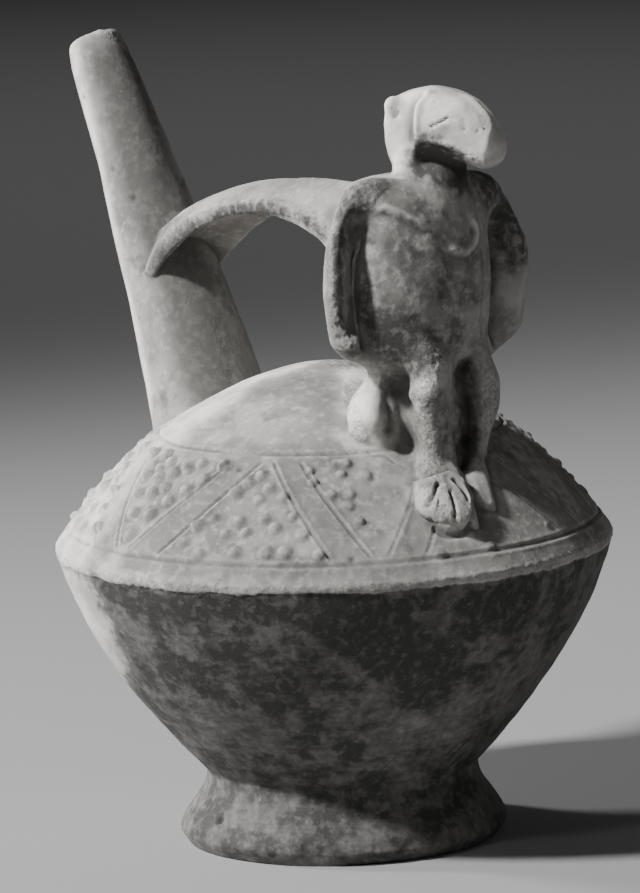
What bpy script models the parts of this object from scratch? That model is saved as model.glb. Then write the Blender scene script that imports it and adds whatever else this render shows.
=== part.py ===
"""An ancient whistling vessel: a hollow, double-coned jar of fired clay on a flared ring foot.

A tall tapered spout leans out of one shoulder, a standing bird with spread wings is set on the
other, and a flat strap bridges the two. It was formed as one piece and fired as one piece, so it
is one object. Row frame: +X runs from the spout to the bird, +Z is up, metres.
"""

import math
import random

import bmesh
import bpy
from mathutils import Vector

# Body, turned about its own upright axis
FOOT_EDGE_RADIUS = 0.0395
FOOT_RADIUS = 0.0416
FOOT_LIP_HEIGHT = 0.0032
FOOT_WALL = 0.0065
FOOT_HOLLOW = 0.0115
FOOT_HOLLOW_TAPER = 0.25
FOOT_HOLLOW_CORNER = (0.0040, 0.0030)
WAIST_RADIUS = 0.0346
WAIST_HEIGHT = 0.0172
WAIST_BAND = 0.0013
BODY_RADIUS = 0.0704
BODY_HEIGHT = 0.0755
EDGE_BAND = 0.0012
SHOULDER_RADIUS = 0.0432
SHOULDER_HEIGHT = 0.1050
DOME_HEIGHT = 0.1215
WALL = 0.0055
FLOOR = 0.0070
INSIDE_CORNER = 0.0040
TURN_STEPS = 44
INSIDE_STEPS = 28
CUTTER_MARGIN = 0.0040

# Incised rings and the lumps of clay pressed on in triangles between them
RING_WIDTH = 0.0016
RING_DEPTH = 0.0007
LOWER_RING_GAP = 0.0033
LUMP_RADIUS = 0.0021
LUMP_HEIGHT = 0.0012
LUMP_SUNK = 0.0007
LUMP_SIZES = (0.80, 1.12)
LUMP_DRIFT = 0.4
LUMP_SIDES = 5
LUMP_ROWS = 5
ZIGZAGS = 6
FIRST_ZIGZAG = math.radians(-125)
FIRST_ZIGZAG_STEP = math.radians(65)
BAND_SHARE = 0.17
LINE_WIDTH = 0.0011
LINE_DEPTH = 0.0006
LINE_PARTS = 3
LINE_LIFT = 0.0008
LINE_INSET = math.radians(1.5)

# Spout
SPOUT_ROOT_X = -0.0430
SPOUT_ROOT_HEIGHT = 0.0900
SPOUT_BEND_X = -0.0570
SPOUT_BEND_HEIGHT = 0.1330
SPOUT_TIP_X = -0.0905
SPOUT_TIP_HEIGHT = 0.1980
SPOUT_ROOT_RADIUS = 0.0195
SPOUT_NECK_RADIUS = 0.0147
SPOUT_TIP_RADIUS = 0.0073
SPOUT_WALL = 0.0031
SPOUT_TAPER_START = 0.28
SPOUT_LIP_ROUNDING = 0.0006
SPOUT_STEPS = 20
BORE_STEPS = 14
BORE_BELOW_ROOT = 0.0120

# Strap from the spout to the bird's back
STRAP_WIDTH = 0.0245
STRAP_THICKNESS = 0.0046
STRAP_SPOUT_SHARE = 0.60
STRAP_RISE = 0.0145
STRAP_BACK_HEIGHT = 0.0590
STRAP_DROOP_POWER = 2.4
STRAP_PARTS = 200

# Bird, drawn on squares of its own height: forward, to its left, and up from the dome under it
BIRD_X = 0.0390
BIRD_HEIGHT = 0.0860
BIRD_SQUARES = 86.0
HEAD_TURN = math.radians(17)
SQUARE = BIRD_HEIGHT / BIRD_SQUARES
STRAP_BACK_FORWARD = -11.0
WING_RIM = 3.2
FEET_FROM = math.radians(-27)
FEET_TO = math.radians(14)
FEET_REACH = 0.0655


def clay():
    """Low-fired grey clay, worn and dusty."""
    material = bpy.data.materials.new("fired_clay")
    material.use_nodes = True
    surface = material.node_tree.nodes["Principled BSDF"]
    surface.inputs["Base Color"].default_value = (0.40, 0.385, 0.365, 1.0)
    surface.inputs["Roughness"].default_value = 0.88
    surface.inputs["Metallic"].default_value = 0.0
    return material


def clear_scene():
    for obj in list(bpy.data.objects):
        bpy.data.objects.remove(obj, do_unlink=True)


def curve_points(start, start_handle, end_handle, end, count):
    """Points along one cubic curve in a plane, ends included."""
    points = []
    for step in range(count):
        t = step / (count - 1)
        weights = ((1 - t) ** 3, 3 * t * (1 - t) ** 2, 3 * t * t * (1 - t), t ** 3)
        corners = (start, start_handle, end_handle, end)
        points.append(tuple(sum(w * c[i] for w, c in zip(weights, corners)) for i in (0, 1)))
    return points


def new_object(name, mesh):
    obj = bpy.data.objects.new(name, mesh)
    bpy.context.scene.collection.objects.link(obj)
    return obj


def mesh_from(name, points, faces):
    """A mesh with all faces turned outwards and shaded smooth."""
    mesh = bpy.data.meshes.new(name)
    mesh.from_pydata([tuple(p) for p in points], [], faces)
    shape = bmesh.new()
    shape.from_mesh(mesh)
    bmesh.ops.recalc_face_normals(shape, faces=shape.faces)
    shape.to_mesh(mesh)
    shape.free()
    mesh.shade_smooth()
    return mesh


def loft(name, rings):
    """A closed solid through rings of equally many points, with flat ends."""
    around = len(rings[0])
    points = [p for ring in rings for p in ring]
    faces = []
    for level in range(len(rings) - 1):
        low, high = level * around, (level + 1) * around
        for i in range(around):
            j = (i + 1) % around
            faces.append((low + i, low + j, high + j, high + i))
    faces.append(tuple(range(around)))
    faces.append(tuple(range(len(points) - around, len(points))))
    return new_object(name, mesh_from(name, points, faces))


def turned(name, outline, steps):
    """A solid turned about Z from an outline whose two ends lie on the axis."""
    points = [Vector((0, 0, outline[0][1])), Vector((0, 0, outline[-1][1]))]
    inner = outline[1:-1]
    for radius, height in inner:
        for step in range(steps):
            angle = math.tau * step / steps
            points.append(Vector((radius * math.cos(angle), radius * math.sin(angle), height)))
    faces = []
    last = 2 + (len(inner) - 1) * steps
    for i in range(steps):
        j = (i + 1) % steps
        faces.append((0, 2 + i, 2 + j))
        faces.append((1, last + j, last + i))
        for level in range(len(inner) - 1):
            low = 2 + level * steps
            faces.append((low + i, low + steps + i, low + steps + j, low + j))
    return new_object(name, mesh_from(name, points, faces))


def oval(centre, long_way, wide_way, count, square=2.0):
    """A ring round a centre: square is 2 for an ellipse and more for a boxier one."""
    ring = []
    for step in range(count):
        angle = math.tau * step / count
        c, s = math.cos(angle), math.sin(angle)
        ring.append(
            centre
            + long_way * math.copysign(abs(c) ** (2 / square), c)
            + wide_way * math.copysign(abs(s) ** (2 / square), s)
        )
    return ring


def tube(name, path, radii, count):
    """A round solid along a path of points, each ring square to the path."""
    rings = []
    for i, place in enumerate(path):
        ahead = (path[min(i + 1, len(path) - 1)] - path[max(i - 1, 0)]).normalized()
        side = ahead.cross(Vector((0, 1, 0))).normalized()
        rings.append(oval(place, side * radii[i], ahead.cross(side) * radii[i], count))
    return loft(name, rings)


def ball(name, centre, radii, turn):
    """A low ellipsoid turned about the upright."""
    mesh = bpy.data.meshes.new(name)
    shape = bmesh.new()
    bmesh.ops.create_uvsphere(shape, u_segments=8, v_segments=6, radius=1.0)
    for point in shape.verts:
        x, y, z = (point.co[i] * radii[i] for i in range(3))
        turned_x = x * math.cos(turn) - y * math.sin(turn)
        turned_y = x * math.sin(turn) + y * math.cos(turn)
        point.co = centre + Vector((turned_x, turned_y, z))
    shape.to_mesh(mesh)
    shape.free()
    return new_object(name, mesh)


def bowl_outline(count):
    """From the band at the waist out and up to the widest edge, nearly upright at the top."""
    run = BODY_RADIUS - WAIST_RADIUS
    rise = BODY_HEIGHT - WAIST_HEIGHT
    return curve_points(
        (WAIST_RADIUS, WAIST_HEIGHT + WAIST_BAND),
        (WAIST_RADIUS + 0.32 * run, WAIST_HEIGHT + 0.22 * rise),
        (BODY_RADIUS - 0.11 * run, BODY_HEIGHT - 0.34 * rise),
        (BODY_RADIUS, BODY_HEIGHT),
        count,
    )


def shoulder_outline(count):
    """From the widest edge up to the incised ring under the dome, bulging a little."""
    run = BODY_RADIUS - SHOULDER_RADIUS
    rise = SHOULDER_HEIGHT - BODY_HEIGHT - EDGE_BAND
    return curve_points(
        (BODY_RADIUS, BODY_HEIGHT + EDGE_BAND),
        (BODY_RADIUS - 0.20 * run, BODY_HEIGHT + EDGE_BAND + 0.29 * rise),
        (SHOULDER_RADIUS + 0.40 * run, SHOULDER_HEIGHT - 0.26 * rise),
        (SHOULDER_RADIUS, SHOULDER_HEIGHT),
        count,
    )


def dome_outline(count):
    rise = DOME_HEIGHT - SHOULDER_HEIGHT
    return curve_points(
        (SHOULDER_RADIUS, SHOULDER_HEIGHT),
        (0.84 * SHOULDER_RADIUS, SHOULDER_HEIGHT + 0.30 * rise),
        (0.37 * SHOULDER_RADIUS, DOME_HEIGHT),
        (0.0, DOME_HEIGHT),
        count,
    )


def foot_outline(count):
    """From the widest part of the foot's lip up to the waist."""
    rise = WAIST_HEIGHT - FOOT_LIP_HEIGHT
    return curve_points(
        (FOOT_RADIUS, FOOT_LIP_HEIGHT),
        (FOOT_RADIUS, FOOT_LIP_HEIGHT + 0.25 * rise),
        (WAIST_RADIUS, FOOT_LIP_HEIGHT + 0.65 * rise),
        (WAIST_RADIUS, WAIST_HEIGHT),
        count,
    )


TOP_OUTLINE = shoulder_outline(24) + dome_outline(24)[1:]


def top_height(radius):
    """Height of the shoulder and dome at a distance from the axis."""
    for outer, inner in zip(TOP_OUTLINE, TOP_OUTLINE[1:]):
        if inner[0] <= radius <= outer[0]:
            share = (outer[0] - radius) / (outer[0] - inner[0])
            return outer[1] + (inner[1] - outer[1]) * share
    return TOP_OUTLINE[0][1]


def on_top(x, y, lift):
    """A point over the shoulder or dome, a lift away from it square to the surface."""
    radius = math.hypot(x, y)
    reach = 0.001
    fall = (top_height(radius - reach) - top_height(radius + reach)) / (2 * reach)
    out = Vector((fall * x / radius, fall * y / radius, 1.0)).normalized()
    return Vector((x, y, top_height(radius))) + out * lift


def ring_groove(outline, index):
    """Puts a shallow incised line into an outline at one of its points."""
    before, after = outline[index - 1], outline[index + 1]
    along = Vector((after[0] - before[0], after[1] - before[1])).normalized()
    inward = Vector((-along.y, along.x))
    middle = Vector(outline[index])
    near = middle - along * RING_WIDTH / 2
    far = middle + along * RING_WIDTH / 2
    bottom = middle + inward * RING_DEPTH
    return outline[:index] + [tuple(near), tuple(bottom), tuple(far)] + outline[index + 1:]


def body():
    """The jar and its foot as one solid of revolution, with the incised rings."""
    shoulder = shoulder_outline(7)
    dome = dome_outline(6)
    crown = ring_groove(shoulder[-2:] + dome[1:], 1)
    ring_radius = BODY_RADIUS - LOWER_RING_GAP
    shoulder[1] = (ring_radius, top_height(ring_radius))
    shoulder = ring_groove(shoulder, 1)
    outline = [(0.0, 0.0), (FOOT_EDGE_RADIUS, 0.0)]
    outline += foot_outline(4)
    outline += bowl_outline(8)
    outline += shoulder[:-2]
    outline += crown
    return turned("body", outline, TURN_STEPS)


def offset_inward(outline, wall):
    """The outline moved into the clay by the wall, square to itself."""
    moved = []
    for i, point in enumerate(outline):
        before = Vector(outline[max(i - 1, 0)])
        after = Vector(outline[min(i + 1, len(outline) - 1)])
        along = (after - before).normalized()
        moved.append((point[0] - along.y * wall, point[1] + along.x * wall))
    return moved


def cavity():
    """The inside of the jar, one wall in from its outside, over a flat floor."""
    floor = FOOT_HOLLOW + FLOOR
    lowest = floor + INSIDE_CORNER / 2
    outside = bowl_outline(7) + shoulder_outline(4)[1:] + dome_outline(4)[1:]
    inside = [p for p in offset_inward(outside, WALL) if p[1] > lowest and p[0] > INSIDE_CORNER]
    floor_radius = inside[0][0] - INSIDE_CORNER
    outline = [(0.0, floor), (floor_radius, floor)] + inside + [(0.0, DOME_HEIGHT - WALL)]
    return turned("cavity", outline, INSIDE_STEPS)


def foot_hollow():
    """The recess under the ring foot."""
    mouth = FOOT_EDGE_RADIUS - FOOT_WALL
    corner_run, corner_rise = FOOT_HOLLOW_CORNER
    side_top = FOOT_HOLLOW - corner_rise
    outline = [
        (0.0, -CUTTER_MARGIN),
        (mouth + CUTTER_MARGIN * FOOT_HOLLOW_TAPER, -CUTTER_MARGIN),
        (mouth - side_top * FOOT_HOLLOW_TAPER, side_top),
        (mouth - FOOT_HOLLOW * FOOT_HOLLOW_TAPER - corner_run, FOOT_HOLLOW),
        (0.0, FOOT_HOLLOW),
    ]
    return turned("foot_hollow", outline, INSIDE_STEPS)


def spout_axis(t):
    """A point of the spout's middle line, t from 0 at its root to 1 at its lip."""
    near, middle, far = (1 - t) ** 2, 2 * t * (1 - t), t * t
    x = near * SPOUT_ROOT_X + middle * SPOUT_BEND_X + far * SPOUT_TIP_X
    z = near * SPOUT_ROOT_HEIGHT + middle * SPOUT_BEND_HEIGHT + far * SPOUT_TIP_HEIGHT
    return Vector((x, 0.0, z))


def spout_radius(t):
    """Flares into the dome at its root and tapers evenly to the lip."""
    if t < SPOUT_TAPER_START:
        flare = (1 - t / SPOUT_TAPER_START) ** 2
        return SPOUT_NECK_RADIUS + (SPOUT_ROOT_RADIUS - SPOUT_NECK_RADIUS) * flare
    share = (t - SPOUT_TAPER_START) / (1 - SPOUT_TAPER_START)
    return SPOUT_NECK_RADIUS + (SPOUT_TIP_RADIUS - SPOUT_NECK_RADIUS) * share


def spout():
    places = (0.0, 0.08, 0.16, 0.28, 0.46, 0.64, 0.82, 0.97, 1.0)
    radii = [spout_radius(t) for t in places]
    radii[-1] -= SPOUT_LIP_ROUNDING
    return tube("spout", [spout_axis(t) for t in places], radii, SPOUT_STEPS)


def spout_bore():
    """The clear way from the lip down into the jar."""
    places = (0.0, 0.12, 0.28, 0.46, 0.64, 0.82, 1.0)
    path = [spout_axis(t) for t in places]
    radii = [spout_radius(t) - SPOUT_WALL for t in places]
    radii[0] = SPOUT_NECK_RADIUS - SPOUT_WALL
    radii[1] = radii[0]
    lip = (spout_axis(1.0) - spout_axis(0.98)).normalized()
    path.append(path[-1] + lip * CUTTER_MARGIN)
    radii.append(radii[-1] + SPOUT_LIP_ROUNDING)
    path.insert(0, Vector((SPOUT_ROOT_X, 0.0, SPOUT_ROOT_HEIGHT - BORE_BELOW_ROOT)))
    radii.insert(0, radii[0])
    return tube("spout_bore", path, radii, BORE_STEPS)


def square_point(forward, left, up):
    """A point on the bird's squares, in the row frame."""
    ground = top_height(BIRD_X)
    return Vector((BIRD_X + forward * SQUARE, left * SQUARE, ground + up * SQUARE))


# Share along the strap, share of its width, how far its edges droop, and its thickness in the
# middle and at the edges, the last three in strap thicknesses
STRAP_TABLE = (
    (0.045, 0.80, 3.1, 1.6, 1.5),
    (0.10, 1.00, 3.0, 1.6, 1.4),
    (0.17, 1.00, 2.05, 1.55, 1.75),
    (0.25, 1.00, 1.35, 1.55, 1.9),
    (0.33, 1.00, 1.10, 1.45, 1.6),
    (0.42, 1.00, 1.05, 1.35, 1.25),
    (0.52, 1.00, 1.00, 1.30, 1.02),
    (0.62, 1.00, 1.05, 1.30, 0.92),
    (0.72, 1.00, 1.20, 1.40, 0.85),
    (0.80, 1.00, 1.50, 1.70, 0.90),
    (0.87, 1.00, 1.75, 2.3, 1.25),
    (0.93, 0.98, 1.90, 3.6, 2.2),
    (1.00, 0.90, 1.95, 4.4, 2.8),
)


def strap():
    """A flat band with a low crown, spreading round the spout and into the bird's back."""
    root = spout_axis(STRAP_SPOUT_SHARE)
    back = square_point(STRAP_BACK_FORWARD, 0, 0)
    back.z += STRAP_BACK_HEIGHT
    span = back.x - root.x
    line = curve_points(
        (root.x, root.z),
        (root.x + 0.28 * span, root.z + STRAP_RISE),
        (root.x + 0.50 * span, back.z + 0.28 * STRAP_RISE),
        (back.x, back.z),
        STRAP_PARTS + 1,
    )
    rings = []
    for share, spread, droop, middle, edge in STRAP_TABLE:
        x, z = line[round(share * STRAP_PARTS)]
        half = spread * STRAP_WIDTH / 2
        ring = []
        for across in (-1.0, -0.62, 0.0, 0.62, 1.0):
            fall = droop * abs(across) ** STRAP_DROOP_POWER * STRAP_THICKNESS
            ring.append(Vector((x, across * half, z - fall)))
        for across in (0.93, 0.55, 0.0, -0.55, -0.93):
            fall = droop * abs(across) ** STRAP_DROOP_POWER * STRAP_THICKNESS
            depth = (middle + (edge - middle) * abs(across) ** 3) * STRAP_THICKNESS
            ring.append(Vector((x, across * half, z - fall - depth)))
        rings.append(ring)
    return loft("strap", rings)


# Height on the bird's squares, half-width on its right and on its left, belly and back,
# wing rim forward of the middle, hollow behind the rim, and how far the section is wing-shaped
CAPE_TABLE = (
    (-10.0, 13.5, 13.5, 7.0, -16.0, 0.0, 0.0, 0.0),
    (0.0, 19.5, 18.0, 8.0, -17.5, 0.0, 0.0, 0.0),
    (4.5, 21.5, 20.0, 8.8, -18.5, 0.0, 0.0, 0.0),
    (9.0, 19.4, 18.6, 8.4, -17.5, 0.0, 0.0, 0.0),
    (12.5, 15.4, 15.4, 7.5, -15.5, 0.0, 0.0, 0.0),
    (15.3, 14.4, 19.5, 7.5, -14.3, 0.0, 0.0, 0.0),
    (17.6, 18.5, 26.0, 9.0, -13.8, 3.0, 1.5, 0.3),
    (20.2, 25.8, 28.6, 11.5, -13.5, 4.5, 4.0, 0.75),
    (24.0, 29.0, 29.6, 13.0, -13.5, 5.5, 7.0, 1.0),
    (30.0, 30.0, 30.2, 14.0, -13.5, 6.0, 8.5, 1.0),
    (37.3, 30.8, 31.6, 14.2, -13.5, 6.0, 9.0, 1.0),
    (44.0, 30.2, 31.2, 13.8, -13.3, 6.0, 8.5, 1.0),
    (50.3, 29.2, 29.6, 12.8, -13.0, 6.0, 5.0, 0.9),
    (54.8, 28.0, 28.6, 12.0, -12.5, 5.5, 1.0, 0.6),
    (58.6, 26.4, 26.4, 10.5, -12.0, 5.0, 0.0, 0.25),
    (61.6, 24.6, 22.5, 8.8, -11.0, 4.0, 0.0, 0.1),
    (63.2, 22.0, 18.0, 7.4, -10.0, 3.0, 0.0, 0.0),
    (64.2, 16.0, 11.0, 6.2, -8.5, 2.0, 0.0, 0.0),
)

# Share of the half-width of each point of a wing-shaped section, from belly to back: on the
# bird's right the hollow is narrow and deep, on its left the wing's front shows broad and flat
RIGHT_WIDTHS = (0.0, 0.30, 0.53, 0.68, 0.77, 0.85, 0.92, 1.0, 0.985, 0.80, 0.45, 0.0)
LEFT_WIDTHS = (0.0, 0.22, 0.38, 0.49, 0.56, 0.68, 0.86, 1.0, 0.985, 0.80, 0.45, 0.0)


def cape_side(row, width, widths):
    """One side of a section: belly, side of the torso, hollow, wing rim and back."""
    belly, back, rim, hollow, wing_share = row[3], row[4], row[5], row[6], row[7]
    depths = (
        belly,
        0.93 * belly,
        0.72 * belly,
        0.42 * belly,
        rim - hollow,
        rim - 0.35 * hollow,
        rim,
        rim - WING_RIM,
        0.30 * back,
        0.72 * back,
        0.93 * back,
        back,
    )
    last = len(depths) - 1
    side = []
    for i, depth in enumerate(depths):
        angle = math.pi * i / last
        middle, half = (belly + back) / 2, (belly - back) / 2
        round_f, round_s = middle + half * math.cos(angle), width * math.sin(angle)
        wing_f, wing_s = depth, width * widths[i]
        side.append(
            (
                round_f + (wing_f - round_f) * wing_share,
                round_s + (wing_s - round_s) * wing_share,
            )
        )
    return side


def torso_and_wings():
    """The bird's lower body, torso and both wings as one form, wings curled forward."""
    rings = []
    for row in CAPE_TABLE:
        right = cape_side(row, row[1], RIGHT_WIDTHS)
        left = cape_side(row, row[2], LEFT_WIDTHS)
        ring = [square_point(f, s, row[0]) for f, s in left]
        ring += [square_point(f, -s, row[0]) for f, s in reversed(right[1:-1])]
        rings.append(ring)
    return loft("torso_and_wings", rings)


# Squares before the neck's middle and above the dome under the bird: the outer point of each
# section of the head from nape over crown to beak tip, its inner point, and its half-width
HEAD_TABLE = (
    (-9.2, 67.5, -2.0, 69.6, 6.3),
    (-9.6, 72.3, -0.8, 69.9, 8.0),
    (-9.8, 78.3, 0.6, 70.0, 8.6),
    (-8.7, 82.9, 1.8, 70.0, 8.8),
    (-4.5, 84.9, 3.0, 70.0, 8.8),
    (1.0, 86.0, 4.6, 69.8, 8.6),
    (7.2, 84.9, 6.6, 69.4, 8.2),
    (12.8, 82.7, 8.8, 68.8, 7.7),
    (17.0, 79.3, 11.2, 67.9, 7.0),
    (19.8, 75.3, 13.5, 67.0, 6.2),
    (20.9, 71.3, 15.4, 66.3, 5.1),
    (20.4, 68.2, 17.0, 65.7, 3.6),
)
NECK_FORWARD = 2.4


def head_point(forward, left, up):
    """A point on the head's squares, turned with the head about the neck."""
    c, s = math.cos(HEAD_TURN), math.sin(HEAD_TURN)
    return square_point(NECK_FORWARD + forward * c - left * s, forward * s + left * c, up)


def head():
    """The rounded skull and the thick hooked beak, one bent form."""
    across = head_point(0, 1, 0) - head_point(0, 0, 0)
    rings = []
    for outer_f, outer_up, inner_f, inner_up, half in HEAD_TABLE:
        outer = head_point(outer_f, 0, outer_up)
        inner = head_point(inner_f, 0, inner_up)
        rings.append(oval((outer + inner) / 2, (outer - inner) / 2, across * half, 14, 3.0))
    return loft("head", rings)


def neck():
    heights = (54.0, 60.0, 64.5, 69.0, 75.0)
    radii = [r * SQUARE for r in (11.0, 9.9, 9.2, 9.0, 8.4)]
    return tube("neck", [head_point(0, 0, up) for up in heights], radii, 16)


def eyes():
    """A pellet on each side, far back on the head."""
    made = []
    for name, side in (("right_eye", -1), ("left_eye", 1)):
        centre = head_point(-5.8, side * 6.7, 80.8)
        radii = [r * SQUARE for r in (2.5, 2.3, 3.3)]
        made.append(ball(name, centre, radii, HEAD_TURN + side * math.radians(35)))
    return made


# Each leg's path on the bird's squares, with its radius at each point
RIGHT_LEG = (
    (7.0, -6.4, 24.0, 4.6),
    (9.2, -7.6, 18.5, 5.3),
    (9.4, -7.9, 12.5, 5.1),
    (8.7, -7.8, 7.0, 4.5),
    (8.1, -6.6, 1.0, 4.5),
    (7.6, -4.6, -6.5, 4.6),
)
LEFT_LEG = (
    (6.0, 6.8, 24.0, 3.6),
    (7.0, 8.8, 17.5, 4.2),
    (7.4, 10.7, 11.5, 4.6),
    (7.2, 10.7, 6.0, 4.4),
    (6.8, 8.6, 0.0, 3.9),
    (6.2, 6.8, -6.5, 4.0),
)


def leg(name, rows):
    path = [square_point(f, s, up) for f, s, up, _ in rows]
    return tube(name, path, [row[3] * SQUARE for row in rows], 12)


# Each foot's heel and tip on the bird's squares, seen from above, its width at each, its
# thickness and how many toes it has
RIGHT_FOOT = ((6.6, -5.2), (21.2, -13.2), 10.0, 14.6, 3.1, 4)
LEFT_FOOT = ((5.6, 6.4), (20.8, -2.0), 6.6, 6.6, 2.5, 2)


def foot(name, size):
    """A splayed foot hugging the shoulder, its toes parted by grooves."""
    heel, tip, heel_width, tip_width, thickness, toes = size
    heel, tip = Vector(heel), Vector(tip)
    along = (tip - heel).normalized()
    side = Vector((-along.y, along.x))
    below = -2.4
    rings = []
    for t, spread, lift, groove in (
        (0.00, 0.00, 0.80, 0.00),
        (0.25, 0.18, 0.90, 0.00),
        (0.45, 0.42, 0.95, 0.08),
        (0.62, 0.68, 1.00, 0.26),
        (0.80, 0.90, 1.05, 0.30),
        (0.93, 1.00, 1.00, 0.30),
        (1.00, 0.96, 0.60, 0.30),
    ):
        middle = heel + (tip - heel) * t
        width = heel_width + (tip_width - heel_width) * spread
        ring = []
        for step in range(2 * toes + 1):
            across = step / toes - 1
            on_edge = step in (0, 2 * toes)
            height = thickness * lift * (0.45 if on_edge else 1.0 - 0.2 * across * across)
            if step % 2 == 0 and not on_edge:
                height -= thickness * lift * groove
            bow = 1.0 - 0.06 * across * across * t
            place = heel + (middle - heel) * bow + side * across * width / 2
            ring.append((place, height))
        for across in (1.0, 0.0, -1.0):
            ring.append((middle + side * across * width / 2, below))
        rings.append(
            [on_top(BIRD_X + p.x * SQUARE, p.y * SQUARE, lift_ * SQUARE) for p, lift_ in ring]
        )
    return loft(name, rings)


def slant_radius(share):
    """Radius at a share of the way down the patterned shoulder, from its upper ring."""
    upper = SHOULDER_RADIUS + RING_WIDTH
    lower = BODY_RADIUS - LOWER_RING_GAP
    return upper + (lower - upper) * share


def zigzag_corners():
    """The angles of the upright triangles' middles: the first step is the widest."""
    step = (math.tau - FIRST_ZIGZAG_STEP) / (ZIGZAGS - 1)
    angles = [FIRST_ZIGZAG, FIRST_ZIGZAG + FIRST_ZIGZAG_STEP]
    while len(angles) < ZIGZAGS:
        angles.append(angles[-1] + step)
    return angles + [angles[0] + math.tau]


def under_bird(angle, radius):
    """Whether a lump here would lie under the bird's feet."""
    angle = (angle + math.pi) % math.tau - math.pi
    return FEET_FROM < angle < FEET_TO and radius < FEET_REACH


def lump_places():
    """Lumps in rows that fill upright triangles and, between them, inverted ones."""
    places = []
    corners = zigzag_corners()
    for first, second in zip(corners, corners[1:]):
        half = (second - first) / 2
        for centre, upright in ((first, True), (first + half, False)):
            for row in range(LUMP_ROWS):
                count = row + 1 if upright else LUMP_ROWS - row
                share = (0.15 if upright else 0.08) + 0.74 * row / (LUMP_ROWS - 1)
                spread = half * (1 - 2 * BAND_SHARE) * (count - 1) / LUMP_ROWS
                for i in range(count):
                    aside = 0.0 if count == 1 else (2 * i / (count - 1) - 1) * spread
                    places.append((centre + aside, slant_radius(share)))
    return places


def lumps():
    """Small pressed-on lumps of clay, each a low five-sided mound, as one helper."""
    chance = random.Random(5)
    points, faces = [], []
    for angle, radius in lump_places():
        size = LUMP_RADIUS * chance.uniform(*LUMP_SIZES)
        radius += chance.uniform(-LUMP_DRIFT, LUMP_DRIFT) * LUMP_RADIUS
        angle += chance.uniform(-LUMP_DRIFT, LUMP_DRIFT) * LUMP_RADIUS / radius
        spin = chance.uniform(0, math.tau)
        if under_bird(angle, radius):
            continue
        x, y = radius * math.cos(angle), radius * math.sin(angle)
        start = len(points)
        points.append(on_top(x, y, LUMP_HEIGHT))
        for step in range(LUMP_SIDES):
            turn = spin + math.tau * step / LUMP_SIDES
            px, py = x + size * math.cos(turn), y + size * math.sin(turn)
            points.append(on_top(px, py, -LUMP_SUNK))
            faces.append((start, start + 1 + step, start + 1 + (step + 1) % LUMP_SIDES))
        faces.append(tuple(start + 1 + step for step in range(LUMP_SIDES)))
    return new_object("lumps", mesh_from("lumps", points, faces))


def incised_lines():
    """V-shaped cutters along both edges of each plain band of the zigzag, as one helper."""
    points, faces = [], []
    corners = zigzag_corners()
    for first, second in zip(corners, corners[1:]):
        half = (second - first) / 2
        band = half * BAND_SHARE * 2
        for foot_of, way in ((first, 1), (second, -1)):
            for top, bottom in ((LINE_INSET, half - band), (band, half - LINE_INSET)):
                start = len(points)
                for step in range(LINE_PARTS + 1):
                    share = step / LINE_PARTS
                    radius = slant_radius(share * 0.96 + 0.02)
                    angle = foot_of + way * (top + (bottom - top) * share)
                    aslant = LINE_WIDTH / 2 / radius
                    for turn, lift in ((-aslant, LINE_LIFT), (aslant, LINE_LIFT), (0.0, -LINE_DEPTH)):
                        x = radius * math.cos(angle + turn)
                        y = radius * math.sin(angle + turn)
                        points.append(on_top(x, y, lift))
                for step in range(LINE_PARTS):
                    low = start + 3 * step
                    for i in range(3):
                        j = (i + 1) % 3
                        faces.append((low + i, low + j, low + 3 + j, low + 3 + i))
                faces.append((start, start + 1, start + 2))
                end = start + 3 * LINE_PARTS
                faces.append((end, end + 1, end + 2))
    return new_object("incised_lines", mesh_from("incised_lines", points, faces))


def boolean(target, tool, operation):
    step = target.modifiers.new(f"{operation.lower()} {tool.name}", "BOOLEAN")
    step.operation = operation
    step.solver = "EXACT"
    step.object = tool
    tool.hide_render = True
    tool.display_type = "WIRE"


def centre_on_origin(frame, vessel):
    """Moves the whole work so that the middle of its box's underside is at the origin."""
    bpy.context.view_layer.update()
    solid = vessel.evaluated_get(bpy.context.evaluated_depsgraph_get())
    corners = [solid.matrix_world @ Vector(corner) for corner in solid.bound_box]
    for axis in (0, 1):
        values = [corner[axis] for corner in corners]
        frame.location[axis] -= (min(values) + max(values)) / 2
    frame.location.z -= min(corner.z for corner in corners)


def build():
    clear_scene()
    vessel = body()
    vessel.name = "vessel"
    vessel.data.materials.append(clay())
    added = [spout(), torso_and_wings(), neck(), head()]
    added += eyes()
    added += [leg("right_leg", RIGHT_LEG), leg("left_leg", LEFT_LEG)]
    added += [foot("right_foot", RIGHT_FOOT), foot("left_foot", LEFT_FOOT)]
    added += [strap(), lumps()]
    cut = [incised_lines(), cavity(), spout_bore(), foot_hollow()]
    boolean(vessel, cut[0], "DIFFERENCE")
    for piece in added:
        boolean(vessel, piece, "UNION")
    for piece in cut[1:]:
        boolean(vessel, piece, "DIFFERENCE")
    frame = bpy.data.objects.new("vessel_axis", None)
    bpy.context.scene.collection.objects.link(frame)
    for piece in [vessel] + added + cut:
        piece.parent = frame
    centre_on_origin(frame, vessel)


build()
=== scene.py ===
"""Looks of an ancient whistling vessel of fired clay: hand-smoothed jar, spout, strap and bird.

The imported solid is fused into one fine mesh, its joins are smoothed as wet clay, the jar and the
spout are trued to their own outlines, and then the marks of making, use and burial are worked in.
Sizes are millimetres about the jar's upright axis, +X towards the bird, +Z up.
"""

import math
import random

import bpy
import numpy as np
from mathutils import Matrix, Vector
from mathutils.kdtree import KDTree


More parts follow.
